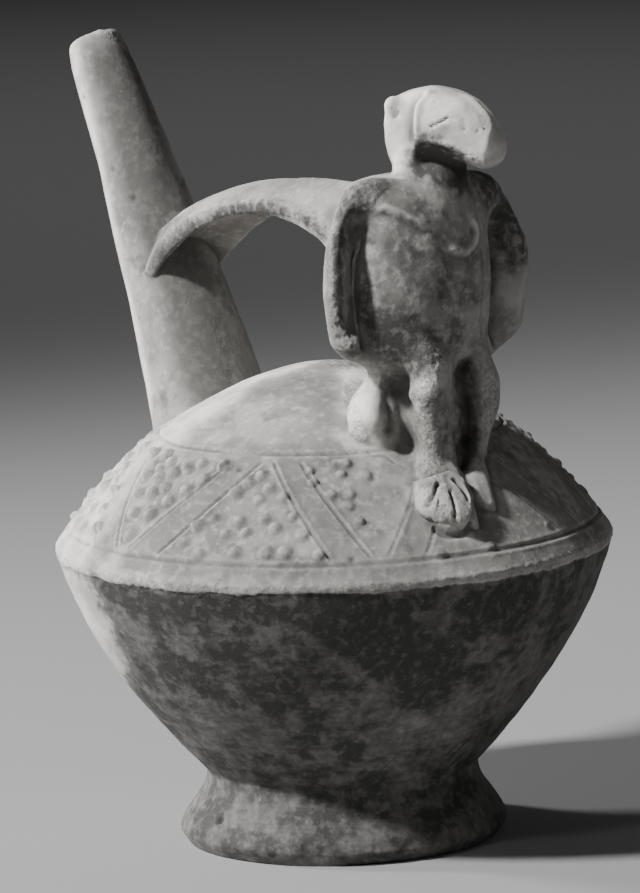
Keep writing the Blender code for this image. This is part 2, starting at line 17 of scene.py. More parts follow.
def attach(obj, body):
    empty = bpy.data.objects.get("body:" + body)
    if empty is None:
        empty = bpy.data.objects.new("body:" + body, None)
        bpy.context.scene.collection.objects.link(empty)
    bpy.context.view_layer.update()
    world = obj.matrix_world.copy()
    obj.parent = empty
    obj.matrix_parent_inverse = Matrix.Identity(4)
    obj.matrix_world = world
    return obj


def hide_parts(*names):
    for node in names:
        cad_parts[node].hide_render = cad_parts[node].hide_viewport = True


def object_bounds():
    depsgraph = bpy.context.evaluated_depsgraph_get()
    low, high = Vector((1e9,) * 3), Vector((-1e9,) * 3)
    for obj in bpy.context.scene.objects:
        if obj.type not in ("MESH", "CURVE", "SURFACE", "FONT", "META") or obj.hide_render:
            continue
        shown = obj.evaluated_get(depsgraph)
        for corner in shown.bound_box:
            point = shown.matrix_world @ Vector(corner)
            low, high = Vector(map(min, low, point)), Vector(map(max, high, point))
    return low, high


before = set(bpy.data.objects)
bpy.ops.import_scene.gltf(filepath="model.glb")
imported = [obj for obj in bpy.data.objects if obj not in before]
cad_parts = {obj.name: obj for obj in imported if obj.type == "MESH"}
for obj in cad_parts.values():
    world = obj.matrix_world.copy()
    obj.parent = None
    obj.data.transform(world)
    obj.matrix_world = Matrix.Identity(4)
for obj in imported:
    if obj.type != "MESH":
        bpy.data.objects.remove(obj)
CAD_LOW, CAD_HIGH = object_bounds()

# Scale and place: the widest edge of the jar is the box's width and its +X side
MM = 0.001
BODY_RADIUS = (CAD_HIGH.y - CAD_LOW.y) / 2 / MM
AXIS = Vector((CAD_HIGH.x - BODY_RADIUS * MM, 0.0, 0.0))

# The jar's outline
FOOT_EDGE_RADIUS = 39.5
FOOT_RADIUS = 41.6
FOOT_LIP_HEIGHT = 3.2
WAIST_RADIUS = 34.6
WAIST_HEIGHT = 17.2
WAIST_BAND = 1.3
BODY_HEIGHT = 75.5
EDGE_BAND = 1.2
SHOULDER_RADIUS = 43.2
SHOULDER_HEIGHT = 105.0
DOME_HEIGHT = 121.5
LOWER_RING_GAP = 3.3
WALL = 5.5

# The spout's middle line and radii
SPOUT_ROOT = (-43.0, 90.0)
SPOUT_BEND = (-57.0, 133.0)
SPOUT_TIP = (-90.5, 198.0)
SPOUT_ROOT_RADIUS = 19.5
SPOUT_NECK_RADIUS = 14.7
SPOUT_TIP_RADIUS = 7.3
SPOUT_TAPER_START = 0.28
SPOUT_STEPS = 240
SPOUT_BEFORE = -20.0
SPOUT_ABOVE = 80.0

# The shoulder's pattern: a zigzag of plain bands between triangles of pressed-on lumps. The rows
# are shares of the way down, a band's line has a width, depth, burr and share that fades, and
# between the feet's two angles the lumps start only beyond the feet's reach
LUMP_RADIUS = 1.5
LUMP_HEIGHT = 1.1
LUMP_ROWS = 6
LARGE_LUMPS_TO = math.radians(-80)
WORN_FROM = math.radians(-22)
WORN_TO = math.radians(48)
ZIGZAGS = 6
FIRST_ZIGZAG = math.radians(-125)
FIRST_ZIGZAG_STEP = math.radians(65)
BAND_SHARE = 0.17
LINE_INSET = math.radians(1.5)
FIRST_UPRIGHT_ROW = 0.15
FIRST_INVERTED_ROW = 0.08
ROWS_REACH = 0.74
LUMP_STRAY = 0.75
LUMP_STRAY_ASIDE = 0.9
LUMP_SIZES = (0.72, 1.15)
LUMP_HEIGHTS = (0.7, 1.15)
LARGER, HIGHER = 1.15, 1.3
BAND_LINE = (0.42, 0.28, 0.34, 0.06)
FEET_FROM = math.radians(-30)
FEET_TO = math.radians(16)
FEET_REACH = 65.5

# The two rings around the shoulder: radius and depth, the groove's width and its burr, how far
# its line strays, and how hard the tool pressed
RINGS = ((SHOULDER_RADIUS + 0.3, 0.36), (BODY_RADIUS - LOWER_RING_GAP, 0.34))
RING_WIDTH = 0.6
RING_BURR, RING_BURR_FROM, RING_BURR_WIDTH = 0.2, 1.1, 0.5
RING_WANDER, RING_WANDER_LENGTH = 0.35, 22.0
RING_PRESSURE, RING_PRESSURE_CHANGE, RING_PRESSURE_LENGTH = 0.75, 0.5, 17.0

# The pale slip's ragged end below the widest edge
SLIP_END = -0.8
SLIP_STEP = 0.42
SLIP_WAVES, SLIP_WAVE_LENGTH = 0.9, 13.0
SLIP_CRUMBS, SLIP_CRUMB_SIZE = 0.5, 2.4

# The crumbly widest edge: where it begins below and ends above, its crumbs and the clay lost
CRUMBLY_FROM, CRUMBLY_TO = (-3.4, -1.4), (1.0, 2.6)
CRUMBS, CRUMB_SIZE, CLAY_LOST = 0.30, 2.2, 0.12

# Unevenness left by the hand: height, size, seed
UNEVENNESS = ((0.38, 34.0, 3), (0.10, 9.0, 7), (0.035, 2.6, 13))
JAR_STROKES = 0.13
SPOUT_STROKES = 0.28

# Lines and spots that the modelling and the tones follow, in the photograph's pixels.
# Single ones first, then tables with their sizes in millimetres. The sticks that hollow the wing
# are given by how far they lie aside and towards the camera, and their radius; the places that
# are rubbed smooth by a line, reach and spread.
JAW = ((416, 143), (426, 142), (440, 145), (456, 148), (469, 154), (483, 163))
NEAR_FOOT_HEIGHT = 1.5
NEAR_FOOT = (
    (414, 484), (449, 472), (465, 482), (471, 496), (472, 511), (468, 521),
    (461, 530), (447, 532), (437, 528), (427, 522), (416, 511),
)
WING_HOLLOW = ((346, 228), (344, 262), (344, 300), (346, 324))
WING_HOLLOW_STICKS = ((2.2, 0.0, 3.0), (3.0, -3.0, 3.4))
HOLLOW_MIDDLE = (((355, 224), (354, 262), (354, 326)), 5, 1.1)
HOLLOW_EDGE = (((370, 225), (372, 262), (376, 300), (384, 330)), 5, 1.8)

# Facets rubbed off the breast: line, reach, spread
RUBBED_BREAST = {
    "left": (((385, 215), (385, 300), (395, 340)), 9, 2.6),
    "middle": (((430, 215), (430, 300), (425, 335)), 9, 2.6),
    "right": (((468, 225), (468, 320)), 7, 2.0),
}

# Clay pushed by a finger: line, reach, push towards the camera, push aside
PUSHED = {
    "wing hollow's floor": (((363, 232), (361, 262), (361, 300)), 3.0, -1.4, 0.0),
    "wing's rim": (((336, 215), (334, 236), (332, 273), (334, 309)), 1.2, 0.7, 0.0),
    "gap by the column": (((399, 392), (401, 415), (405, 440)), 3.0, -5.0, 0.0),
    "column's right side": (((389, 398), (391, 430)), 2.5, -2.5, 0.0),
    "gap at the column's foot": (((400, 434), (406, 446)), 3.0, -3.0, 0.0),
    "column's left side": (((344, 405), (343, 420)), 3.0, 0.0, 1.5),
    "gap between the legs": (((461, 365), (463, 400), (465, 440), (463, 468)), 2.3, -4.0, 0.0),
    "near thigh": (((431, 363), (431, 385)), 3.4, 1.3, 0.0),
    "throat": (((428, 159), (445, 161), (460, 167)), 2.8, -3.0, 0.0),
    "jaw": (JAW, 1.3, 0.9, 0.0),
    "far wing's fold": (((486, 250), (488, 290), (486, 330)), 1.6, -1.2, 0.0),
}

# Tool lines on the head: line, width, depth, then burr and the share that fades if not plain
LINE_FADE = 0.12
HEAD_LINES = {
    "groove behind the face": (
        ((428, 92), (415, 103), (411, 118), (411, 135), (412, 148)), 1.0, 0.8
    ),
    "face's raised rim": (((433, 91), (420, 102), (417, 118), (418, 134)), 0.8, -0.7),
    "crease under the crest": (((399, 110), (397, 115), (393, 118)), 0.4, 0.5),
    "mouth": (((428, 127), (434, 125), (442, 121), (450, 116)), 0.3, 0.8, 0.15, 0.1),
    "lip": (((432, 128), (444, 125), (456, 122), (463, 125)), 0.7, -0.3),
    "beak's ridge": (((462, 94), (480, 108), (490, 123), (487, 142), (483, 158)), 1.1, -0.4),
}

# Mounds and dents: spots, radius, height
HEAD_SPOTS = {
    "crest": (((391, 104),), 2.0, 1.3),
    "eye and nostril pits": (((435, 102), (464, 129), (478, 131)), 0.5, -0.45),
    "shallow dents": (((447, 104), (470, 112), (425, 112)), 1.2, -0.22),
}
BODY_SPOTS = {
    "chips in the far wing": (((527, 285), (520, 220), (505, 187)), 1.6, -0.9),
    "lump by the near leg": (((412, 395),), 1.5, 0.9),
    "root of the first toe": (((438, 487),), 0.7, -0.8),
}
JAR_SPOTS = {
    "pits": (
        ((84, 98), (113, 170), (134, 199), (138, 348), (240, 470), (352, 560)), 0.8, -0.6
    ),
    "pit in the foot": (((222, 818), (220, 822)), 1.0, -0.8),
    "chips in the foot's front": (((306, 852), (318, 856)), 2.2, -0.9),
    "chips in the foot's edge": (((205, 838), (410, 848), (470, 840)), 1.8, -0.5),
}

# Ridges on the body, each with a dip beside it: line, height
BODY_RIDGES = {
    "breast, left": (((375, 214), (385, 208), (397, 212), (410, 218), (426, 226), (431, 229)), 0.8),
    "breast, right": (((470, 215), (476, 229), (475, 242), (465, 251), (447, 248)), 0.8),
    "below the breast": (((418, 246), (429, 257), (440, 270)), 0.2),
    "side, low": (((363, 271), (368, 275), (374, 280)), 0.3),
    "between the breast's ridges": (((420, 215), (440, 222), (456, 234)), 0.25),
    "side, high": (((372, 232), (378, 250), (372, 262)), 0.2),
}
RIDGE_WIDTH, DIP_WIDTH, DIP_SHARE = 1.1, 1.6, 0.5
DIP_ASIDE, DIP_BELOW = 1, 8
PALE_RIDGES = ("breast, left", "breast, right")
PALE_RIDGE_REACH, PALE_RIDGE_STRENGTH = 1.0, 0.55

# Grooves on the body and the near foot, with the same sizes
TOE_GROOVE = (0.55, 1.0, 0.2, 0.1)
GROOVES = {
    "nick in the side": (((379, 277), (383, 279), (387, 278)), 0.4, 0.5),
    "far wing's first fold": (((481, 240), (484, 280), (480, 330)), 0.9, 0.5),
    "far wing's second fold": (((492, 250), (491, 290), (487, 331)), 0.9, 0.5),
    "first toe": (((438, 486), (434, 494), (428, 510)), *TOE_GROOVE),
    "second toe": (((447, 494), (451, 507), (454, 519)), *TOE_GROOVE),
    "third toe": (((450, 481), (457, 489), (467, 505)), *TOE_GROOVE),
    "fourth toe": (((463, 481), (470, 497), (473, 507)), *TOE_GROOVE),
    "under the foot": (((430, 527), (446, 536), (463, 534), (474, 519)), 0.8, 0.8),
    "crack beside the foot": (
        ((366, 451), (373, 456), (386, 457), (393, 462), (406, 469)), 0.28, 0.35
    ),
}

# Granular clay: line, reach, height, size of the grains
GRANULAR_BIRD = {
    "near wing's rim": (
        ((337, 210), (333, 240), (331, 273), (333, 309), (336, 328)), 2.2, 0.45, 1.3
    ),
    "near shoulder": (((356, 214), (364, 192), (375, 183)), 3.4, 0.45, 1.3),
    "near wing's tip": (((339, 332), (347, 345), (344, 360)), 3.2, 0.45, 1.3),
    "near leg": (((432, 358), (424, 400), (424, 440), (432, 470)), 4.0, 0.28, 1.0),
    "near foot": (((430, 490), (445, 508), (460, 515)), 4.5, 0.22, 1.0),
    "far leg": (((488, 372), (492, 400), (488, 430)), 3.0, 0.30, 1.0),
    "jaw": (JAW, 1.2, 0.30, 1.0),
    "column": (((356, 385), (350, 415), (358, 432)), 3.0, 0.22, 1.0),
    "far wing's rim": (((524, 215), (527, 260), (522, 330), (505, 355)), 2.5, 0.45, 1.3),
}
GRANULAR_JAR = {
    "spout's mouth": (((68, 44), (84, 34), (103, 30), (119, 37)), 2.0, 0.6, 3.0),
    "strap's edge by the spout": (((152, 270), (165, 245), (195, 222), (228, 208)), 2.2, 0.25, 1.1),
    "strap's edge by the bird": (((228, 208), (262, 205), (300, 212), (322, 228)), 2.0, 0.25, 1.1),
}

# Tones along lines, painted light and painted shade among them: line, reach, strength
SOOTY = {
    "stroke down the bowl": (((335, 612), (385, 640), (432, 682)), 13, 1.25),
    "line under the edge": (((120, 596), (230, 612), (420, 604)), 4, 1.2),
    "right of the bowl": (((470, 620), (520, 600)), 10, 1.15),
    "left of the foot": (((205, 800), (200, 835), (260, 850)), 8, 0.95),
}
# Pale clay, and painted light on the lit left sides of the neck, the column and the spout
PALE_AND_PAINTED_LIGHT = {
    "head": (((400, 105), (440, 108), (480, 130)), 11, 1.0),
    "painted light on the neck's left side": (((398, 150), (399, 165)), 4, 1.0),
    # painted light on the column's lit left flank
    "column": (((362, 375), (354, 405), (358, 430)), 6, 1.0),
    "near thigh": (((432, 360), (428, 385)), 4, 0.6),
    "near foot": (((432, 495), (447, 510), (460, 518)), 6, 0.55),
    "far leg": (((488, 375), (490, 420)), 4, 0.4),
    "painted light on the spout's left side": (((72, 60), (98, 200), (126, 300), (148, 400)), 4.5, 1.0),
    "far wing": (((508, 300), (512, 345)), 5, 0.35),
}
# Earth, and painted shade in and beside the wing's hollow, between the legs, under the jaw, by the
# column and down the near shin
EARTH_AND_PAINTED_SHADE = {
    "belly": (((383, 318), (398, 332), (414, 350)), 8, 0.95),
    "far shoulder": (((488, 185), (505, 205), (515, 245)), 7, 0.9),
    "near shoulder": (((352, 218), (352, 190), (376, 182)), 5.5, 0.9),
    "near wing's rim": (((340, 212), (338, 260), (340, 322)), 2.6, 0.9),
    "near wing's tip": (((345, 335), (352, 352)), 5, 0.5),
    # painted shade in the wing's hollow and along its edge
    "painted shade in the wing's hollow": (((351, 232), (350, 262), (351, 320)), 3.5, 0.9),
    "painted shade along the hollow's edge": (((368, 226), (370, 262), (375, 300), (381, 324)), 4.5, 0.6),
    # painted shade between the legs, under the jaw, by the column and down the near shin
    "gap between the legs": (((463, 372), (465, 420), (466, 460)), 5, 0.6),
    "throat": (((430, 158), (450, 165), (464, 174)), 7, 1.15),
    "gap by the column": (((396, 385), (400, 420), (404, 440)), 4.5, 0.6),
    "painted shade down the near shin": (((440, 400), (440, 450)), 3.5, 0.5),
    "strap's edge": (
        ((158, 266), (190, 234), (226, 216), (262, 210), (300, 218), (322, 236)), 2.5, 0.9
    ),
    "ring above the edge": (((180, 560), (300, 568), (420, 560)), 4, 0.2),
    "shoulder, left": (((215, 480), (225, 540)), 6, 0.3),
    "shoulder, middle": (((330, 455), (400, 540)), 7, 0.3),
    "breast": (((385, 240), (430, 250), (445, 320)), 13, 0.5),
}
# Duller clay, and painted shade on the spout's front
DULL_AND_PAINTED_SHADE = {
    "painted shade on the spout's front": (((122, 70), (152, 190), (190, 290), (214, 380)), 9, 1.0),
    "dome": (((265, 385), (345, 395)), 7, 0.45),
    "edge of the jar": (((180, 572), (300, 580), (420, 572)), 4, 0.4),
    "near wing's rim": (((333, 215), (331, 262), (332, 320), (344, 355)), 3, 0.5),
    "near shoulder": (((352, 222), (362, 195), (376, 184)), 5, 0.4),
}

# Brightness of the clay's tones, painted light and painted shade among them
PALE_GROUND, DARK_GROUND, BROWN_PATCHES, DUST = 0.36, 0.24, 0.18, 0.50
RUBBED_CLAY, PALE_CLAY_AND_PAINTED_LIGHT, DULL_CLAY_AND_PAINTED_SHADE, EARTH_AND_PAINTED_SHADE_TONE, CREASE_EARTH_AND_PAINTED_SHADE = 0.56, 0.79, 0.11, 0.065, 0.09
WORN_SOOT_DARK, WORN_SOOT_PALE, SOOT, DUSTY_SOOT = 0.092, 0.148, 0.034, 0.085
DUST_SPECKS, PITS = 0.45, 0.08
FLOOR_TONE = 0.31

# The fire cloud on the bowl: its sides as turns from the photograph's view in degrees, the left
# one shifting with the height in millimetres, and how much darker it is above and on the right
CLOUD_EDGE = 14
CLOUD_LEFT, CLOUD_LEFT_SHIFT, CLOUD_LEFT_HEIGHTS = -118, 50, (20, 56)
CLOUD_RIGHT = (85, 125)
CLOUD_STRENGTH, CLOUD_MORE = 0.75, 0.11
CLOUD_MORE_HEIGHTS, CLOUD_MORE_TURNS = (36, 54), (-60, -20)

# The camera, from the photograph's view
CAMERA_TURN = math.radians(50)
CAMERA_ROLL = math.radians(2)
CAMERA_DISTANCE = 1650.0
CAMERA_HEIGHT = 372.0
AIM_ASIDE = -2.78
AIM_HEIGHT = 99.6
PICTURE_WIDTH = 640
PICTURE_HEIGHT = 893
FOCAL_PIXELS = 6622.0
SENSOR = 36.0

# The lamps: turn from the camera's side and height in degrees, power in watts
LAMPS = {
    "lamp_from_left": (-66, 43, 780),
    "low_lamp_from_behind_left": (-112, 16, 470),
    "weak_lamp_from_front_left": (-40, 40, 28),
    "weak_lamp_from_right": (62, 24, 18),
}
LAMP_CONE = math.radians(28)
LAMP_DISTANCE = 3.2
LAMP_RADIUS = 0.19
LAMP_AIM_HEIGHT = 100.0
FAR_LAMP_POWER = 40
FAR_LAMP_CONE = math.radians(62)
FAR_LAMP_RADIUS = 0.3
FAR_LAMP_AWAY = 1.35
FAR_LAMP_HEIGHT = 2.2
ROOM_LIGHT = 0.07
FLOOR_HALF_WIDTH = 9.0

# How finely the clay is modelled, and how far its joins are smoothed, in square millimetres
VOXEL = 0.5
MOST_TRIANGLES = 190000
JOIN_SMOOTHING = 4.5
TONE_VOXEL = 0.7

# How far behind the outside the clay counts as inside
BEHIND = 0.3
INSIDE_SHARE = 0.55
BORE_DEPTH = 1.4


def smooth_step(low, high, value):
    """0 below low, 1 above high, and an even turn between them."""
    share = np.clip((value - low) / (high - low), 0.0, 1.0)
    return share * share * (3.0 - 2.0 * share)


def curve_points(start, start_handle, end_handle, end, count):
    """Points along one cubic curve in a plane, ends included."""
    t = np.linspace(0.0, 1.0, count)[:, None]
    start, start_handle, end_handle, end = map(np.array, (start, start_handle, end_handle, end))
    return (
        (1 - t) ** 3 * start
        + 3 * t * (1 - t) ** 2 * start_handle
        + 3 * t * t * (1 - t) * end_handle
        + t ** 3 * end
    )


def foot_outline():
    """Radius and height up the flare from the foot's lip to the waist."""
    rise = WAIST_HEIGHT - FOOT_LIP_HEIGHT
    return curve_points(
        (FOOT_RADIUS, FOOT_LIP_HEIGHT),
        (FOOT_RADIUS, FOOT_LIP_HEIGHT + 0.25 * rise),
        (WAIST_RADIUS, FOOT_LIP_HEIGHT + 0.65 * rise),
        (WAIST_RADIUS, WAIST_HEIGHT),
        16,
    )


def bowl_outline():
    """Radius and height from the waist to the widest edge."""
    run = BODY_RADIUS - WAIST_RADIUS
    rise = BODY_HEIGHT - WAIST_HEIGHT
    return curve_points(
        (WAIST_RADIUS, WAIST_HEIGHT + WAIST_BAND),
        (WAIST_RADIUS + 0.32 * run, WAIST_HEIGHT + 0.22 * rise),
        (BODY_RADIUS - 0.11 * run, BODY_HEIGHT - 0.34 * rise),
        (BODY_RADIUS, BODY_HEIGHT),
        40,
    )


def shoulder_outline():
    """Radius and height from the widest edge to the foot of the dome."""
    run = BODY_RADIUS - SHOULDER_RADIUS
    rise = SHOULDER_HEIGHT - BODY_HEIGHT - EDGE_BAND
    return curve_points(
        (BODY_RADIUS, BODY_HEIGHT + EDGE_BAND),
        (BODY_RADIUS - 0.20 * run, BODY_HEIGHT + EDGE_BAND + 0.29 * rise),
        (SHOULDER_RADIUS + 0.40 * run, SHOULDER_HEIGHT - 0.26 * rise),
        (SHOULDER_RADIUS, SHOULDER_HEIGHT),
        30,
    )


def dome_outline():
    """Radius and height over the dome to the axis."""
    rise = DOME_HEIGHT - SHOULDER_HEIGHT
    return curve_points(
        (SHOULDER_RADIUS, SHOULDER_HEIGHT),
        (0.84 * SHOULDER_RADIUS, SHOULDER_HEIGHT + 0.30 * rise),
        (0.37 * SHOULDER_RADIUS, DOME_HEIGHT),
        (0.0, DOME_HEIGHT),
        30,
    )


JAR_OUTLINE = np.concatenate(
    [
        [(FOOT_EDGE_RADIUS, 0.0)], foot_outline(), bowl_outline(),
        shoulder_outline(), dome_outline()[1:],
    ]
)
TOP_OUTLINE = np.concatenate([shoulder_outline(), dome_outline()[1:]])


def top_height(radius):
    """Height of the shoulder and dome at distances from the axis."""
    return np.interp(radius, TOP_OUTLINE[::-1, 0], TOP_OUTLINE[::-1, 1])


class Clay:
    """A closed mesh as arrays: points, four-sided faces, and which points share an edge."""

    def __init__(self, points, faces, edges):
        self.points = points
        self.faces = faces
        self.edges = edges
        ends = edges.ravel()
        self.degree = np.bincount(ends, minlength=len(points)).astype(float)

    def averaged(self, values):
        """Each point's mean over its neighbours."""
        a, b = self.edges[:, 0], self.edges[:, 1]
        values = values.reshape(len(self.points), -1)
        mean = np.empty_like(values)
        for i in range(values.shape[1]):
            column = values[:, i]
            total = np.bincount(a, column[b], len(self.points))
            total += np.bincount(b, column[a], len(self.points))
            mean[:, i] = total / self.degree
        return mean

    def smoothed(self, values, rounds, share=0.5):
        """The values drawn towards their neighbours' mean, some rounds over."""
        shape = values.shape
        values = values.reshape(len(self.points), -1).astype(float)
        for _ in range(rounds):
            values = values + (self.averaged(values) - values) * share
        return values.reshape(shape)

    def normals(self):
        """The way out at each point."""
        corners = self.points[self.faces]
        across = np.cross(corners[:, 2] - corners[:, 0], corners[:, 3] - corners[:, 1])
        total = np.zeros_like(self.points)
        for corner in range(4):
            for axis in range(3):
                total[:, axis] += np.bincount(
                    self.faces[:, corner], across[:, axis], len(self.points)
                )
        return total / np.maximum(np.linalg.norm(total, axis=1, keepdims=True), 1e-12)


def placed(name, data):
    """A new object in the scene."""
    made = bpy.data.objects.new(name, data)
    bpy.context.scene.collection.objects.link(made)
    return made


def fused(node, voxel):
    """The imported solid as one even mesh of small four-sided faces, in millimetres."""
    copy = placed("fused_clay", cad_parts[node].data.copy())
    remesh = copy.modifiers.new("even faces", "REMESH")
    remesh.mode = "VOXEL"
    remesh.voxel_size = voxel * MM
    shape = copy.evaluated_get(bpy.context.evaluated_depsgraph_get()).to_mesh()
    count = len(shape.vertices)
    points = np.empty(count * 3, np.float32)
    shape.vertices.foreach_get("co", points)
    corners = np.empty(len(shape.loops), np.int32)
    shape.loops.foreach_get("vertex_index", corners)
    edges = np.empty(len(shape.edges) * 2, np.int32)
    shape.edges.foreach_get("vertices", edges)
    points = (points.reshape(-1, 3).astype(float) - np.array(AXIS)) / MM
    made = Clay(points, corners.reshape(-1, 4), edges.reshape(-1, 2))
    bpy.data.objects.remove(copy, do_unlink=True)
    return made


def nearest_on_path(points, path):
    """The nearest place on a path to each point, its distance, and how many steps along it is."""
    best = np.full(len(points), np.inf)
    nearest = np.zeros_like(points)
    steps = np.zeros(len(points))
    for i, (start, end) in enumerate(zip(path[:-1], path[1:])):
        run = end - start
        share = np.clip(((points - start) @ run) / (run @ run), 0.0, 1.0)
        place = start + share[:, None] * run
        gap = np.linalg.norm(points - place, axis=1)
        closer = gap < best
        best[closer] = gap[closer]
        nearest[closer] = place[closer]
        steps[closer] = i + share[closer]
    return nearest, best, steps


def nearest_on_outline(points):
    """The nearest outline point to each point in the half-plane through the axis, and the gap."""
    spot = np.stack([np.hypot(points[:, 0], points[:, 1]), points[:, 2]], axis=1)
    return nearest_on_path(spot, JAR_OUTLINE)[:2]


def spout_axis(t):
    """Points on the spout's middle line at shares along it."""
    near, middle, far = (1 - t) ** 2, 2 * t * (1 - t), t * t
    x = near * SPOUT_ROOT[0] + middle * SPOUT_BEND[0] + far * SPOUT_TIP[0]
    z = near * SPOUT_ROOT[1] + middle * SPOUT_BEND[1] + far * SPOUT_TIP[1]
    return np.stack([x, np.zeros_like(x), z], axis=-1)


def spout_radius(t):
    """The spout's outer radius at shares along it."""
    flare = np.clip(1 - t / SPOUT_TAPER_START, 0, 1) ** 2
    share = np.clip((t - SPOUT_TAPER_START) / (1 - SPOUT_TAPER_START), 0, 1)
    low = SPOUT_NECK_RADIUS + (SPOUT_ROOT_RADIUS - SPOUT_NECK_RADIUS) * flare
    return low + (SPOUT_TIP_RADIUS - SPOUT_NECK_RADIUS) * share


def nearest_on_spout(points):
    """Share along the spout, its middle line there, the way out, and the distance to the line."""
    t = np.linspace(0.0, 1.0, SPOUT_STEPS + 1)
    _, best, steps = nearest_on_path(points, spout_axis(t))
    share = steps / SPOUT_STEPS
    middle = spout_axis(share)
    out = (points - middle) / np.maximum(best, 1e-9)[:, None]
    return share, middle, out, best


def camera_view():
    """Place, right, up and back of the photograph's camera, in millimetres about the axis."""
    right = np.array([math.cos(CAMERA_TURN), math.sin(CAMERA_TURN), 0.0])
    towards = np.array([math.sin(CAMERA_TURN), -math.cos(CAMERA_TURN), 0.0])
    place = towards * CAMERA_DISTANCE + np.array([0, 0, CAMERA_HEIGHT])
    aim = right * AIM_ASIDE + np.array([0, 0, AIM_HEIGHT])
    back = (place - aim) / np.linalg.norm(place - aim)
    right = np.cross([0, 0, 1], back)
    right /= np.linalg.norm(right)
    up = np.cross(back, right)
    c, s = math.cos(CAMERA_ROLL), math.sin(CAMERA_ROLL)
    return place, c * right - s * up, s * right + c * up, back


def make_camera():
    """The camera that sees the vessel as the photograph does."""
    place, right, up, back = camera_view()
    data = bpy.data.cameras.new("photo_view")
    data.sensor_fit = "AUTO"
    data.sensor_width = SENSOR
    data.lens = FOCAL_PIXELS * SENSOR / PICTURE_HEIGHT
    data.clip_start, data.clip_end = 0.05, 20.0
    camera = placed("photo_view", data)
    turn = Matrix((right, up, back)).transposed().to_4x4()
    camera.matrix_world = Matrix.Translation(AXIS + Vector(place) * MM) @ turn
    bpy.context.scene.camera = camera


def lumpy(points, size, seed, octaves=1):
    """Even random unevenness from -1 to 1, with features of about this size in millimetres."""
    total, strength, whole = np.zeros(len(points)), 1.0, 0.0
    for octave in range(octaves):
        chance = np.random.RandomState(seed + octave)
        order = np.tile(chance.permutation(256), 3)
        slopes = chance.normal(size=(256, 3))
        slopes /= np.linalg.norm(slopes, axis=1, keepdims=True)
        spot = points / size * 2 ** octave
        cell = np.floor(spot).astype(int)
        within = spot - cell
        fade = within ** 3 * (within * (within * 6 - 15) + 10)
        cell &= 255
        for dx in (0, 1):
            for dy in (0, 1):
                for dz in (0, 1):
                    index = order[order[order[cell[:, 0] + dx] + cell[:, 1] + dy] + cell[:, 2] + dz]
                    weight = fade[:, 0] if dx else 1 - fade[:, 0]
                    weight = weight * (fade[:, 1] if dy else 1 - fade[:, 1])
                    weight = weight * (fade[:, 2] if dz else 1 - fade[:, 2])
                    slope = np.einsum("ij,ij->i", slopes[index], within - (dx, dy, dz))
                    total += strength * weight * slope * 1.7
        whole += strength
        strength *= 0.5
    return total / whole


def along_path(points, path):
    """Each point's distance to a path of points, and its share along the path."""
    path = np.asarray(path, float)
    before = np.concatenate([[0.0], np.cumsum(np.linalg.norm(np.diff(path, axis=0), axis=1))])
    _, best, steps = nearest_on_path(points, path)
    return best, np.interp(steps, np.arange(len(path)), before) / before[-1]


def close_to(points, path, margin, among=None):
    """Numbers of the points, all or among some, inside the path's box grown by a margin."""
    low, high = path.min(axis=0) - margin, path.max(axis=0) + margin
    if among is None:
        return np.flatnonzero(np.all((points > low) & (points < high), axis=1))
    spots = points[among]
    return among[np.all((spots > low) & (spots < high), axis=1)]


def smooth_path(path, parts=6):
    """A rounder path through the same points."""
    path = np.array(path, float)
    if len(path) < 3:
        return path
    ends = np.concatenate([[2 * path[0] - path[1]], path, [2 * path[-1] - path[-2]]])
    made = []
    for i in range(1, len(ends) - 2):
        a, b, c, d = ends[i - 1:i + 3]
        for t in np.arange(parts) / parts:
            made.append(
                0.5 * (2 * b + (c - a) * t + (2 * a - 5 * b + 4 * c - d) * t * t
                       + (3 * b - a - 3 * c + d) * t ** 3)
            )
    return np.array(made + [path[-1]])


def tool_line(clay, path, width, depth, burr=0.0, ends=LINE_FADE):
    """A tool drawn through damp clay: a groove, or a ridge where depth is below 0, with burrs."""
    path = smooth_path(path)
    close = close_to(clay.points, path, 4 * width)
    gap, share = along_path(clay.points[close], path)
    fade = smooth_step(0, ends, share) * smooth_step(0, ends, 1 - share)
    shape = -depth * np.exp(-(gap / width) ** 2)
    shape += burr * np.exp(-((gap - 1.8 * width) / (0.75 * width)) ** 2)
    clay.lift[close] += shape * fade


def thumb(clay, place, size, height, flat=2.0, among=None):
    """A mound pressed on, or a dent where height is below 0. Size is its radius."""
    place = np.atleast_2d(place)
    close = close_to(clay.points, place, 2.2 * size, among)
    gap = np.linalg.norm(clay.points[close] - place[0], axis=1)
    clay.lift[close] += height * np.exp(-(gap / size) ** flat)


def on_clay(pixels):
    """Points on the vessel behind these pixels of the photograph, in millimetres."""
    place, right, up, back = camera_view()
    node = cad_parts["vessel"]
    found = []
    for x, y in pixels:
        aside, above = x - PICTURE_WIDTH / 2, PICTURE_HEIGHT / 2 - y
        ray = Vector(right * aside + up * above - back * FOCAL_PIXELS).normalized()
        hit, spot, _, _ = node.ray_cast(AXIS + Vector(place) * MM, ray)
        if hit:
            found.append(np.array(spot - AXIS) / MM)
    return np.array(found)


def line_on_clay(pixels):
    """A smooth line on the vessel through pixels of the photograph."""
    path = smooth_path(on_clay(pixels), 3)
    return path if len(path) > 1 else np.concatenate([path, path + 0.01])


def seen_at(points):
    """Where points appear in the photograph, in its pixels."""
    place, right, up, back = camera_view()
    away = points - place
    scale = FOCAL_PIXELS / -(away @ back)
    x = PICTURE_WIDTH / 2 + (away @ right) * scale
    y = PICTURE_HEIGHT / 2 - (away @ up) * scale
    return np.stack([x, y], axis=1)


def front_facing(clay):
    """1 where the surface faces the photograph's camera, 0 where it faces away."""
    back = camera_view()[3]
    return smooth_step(-0.15, 0.35, clay.normals() @ back)


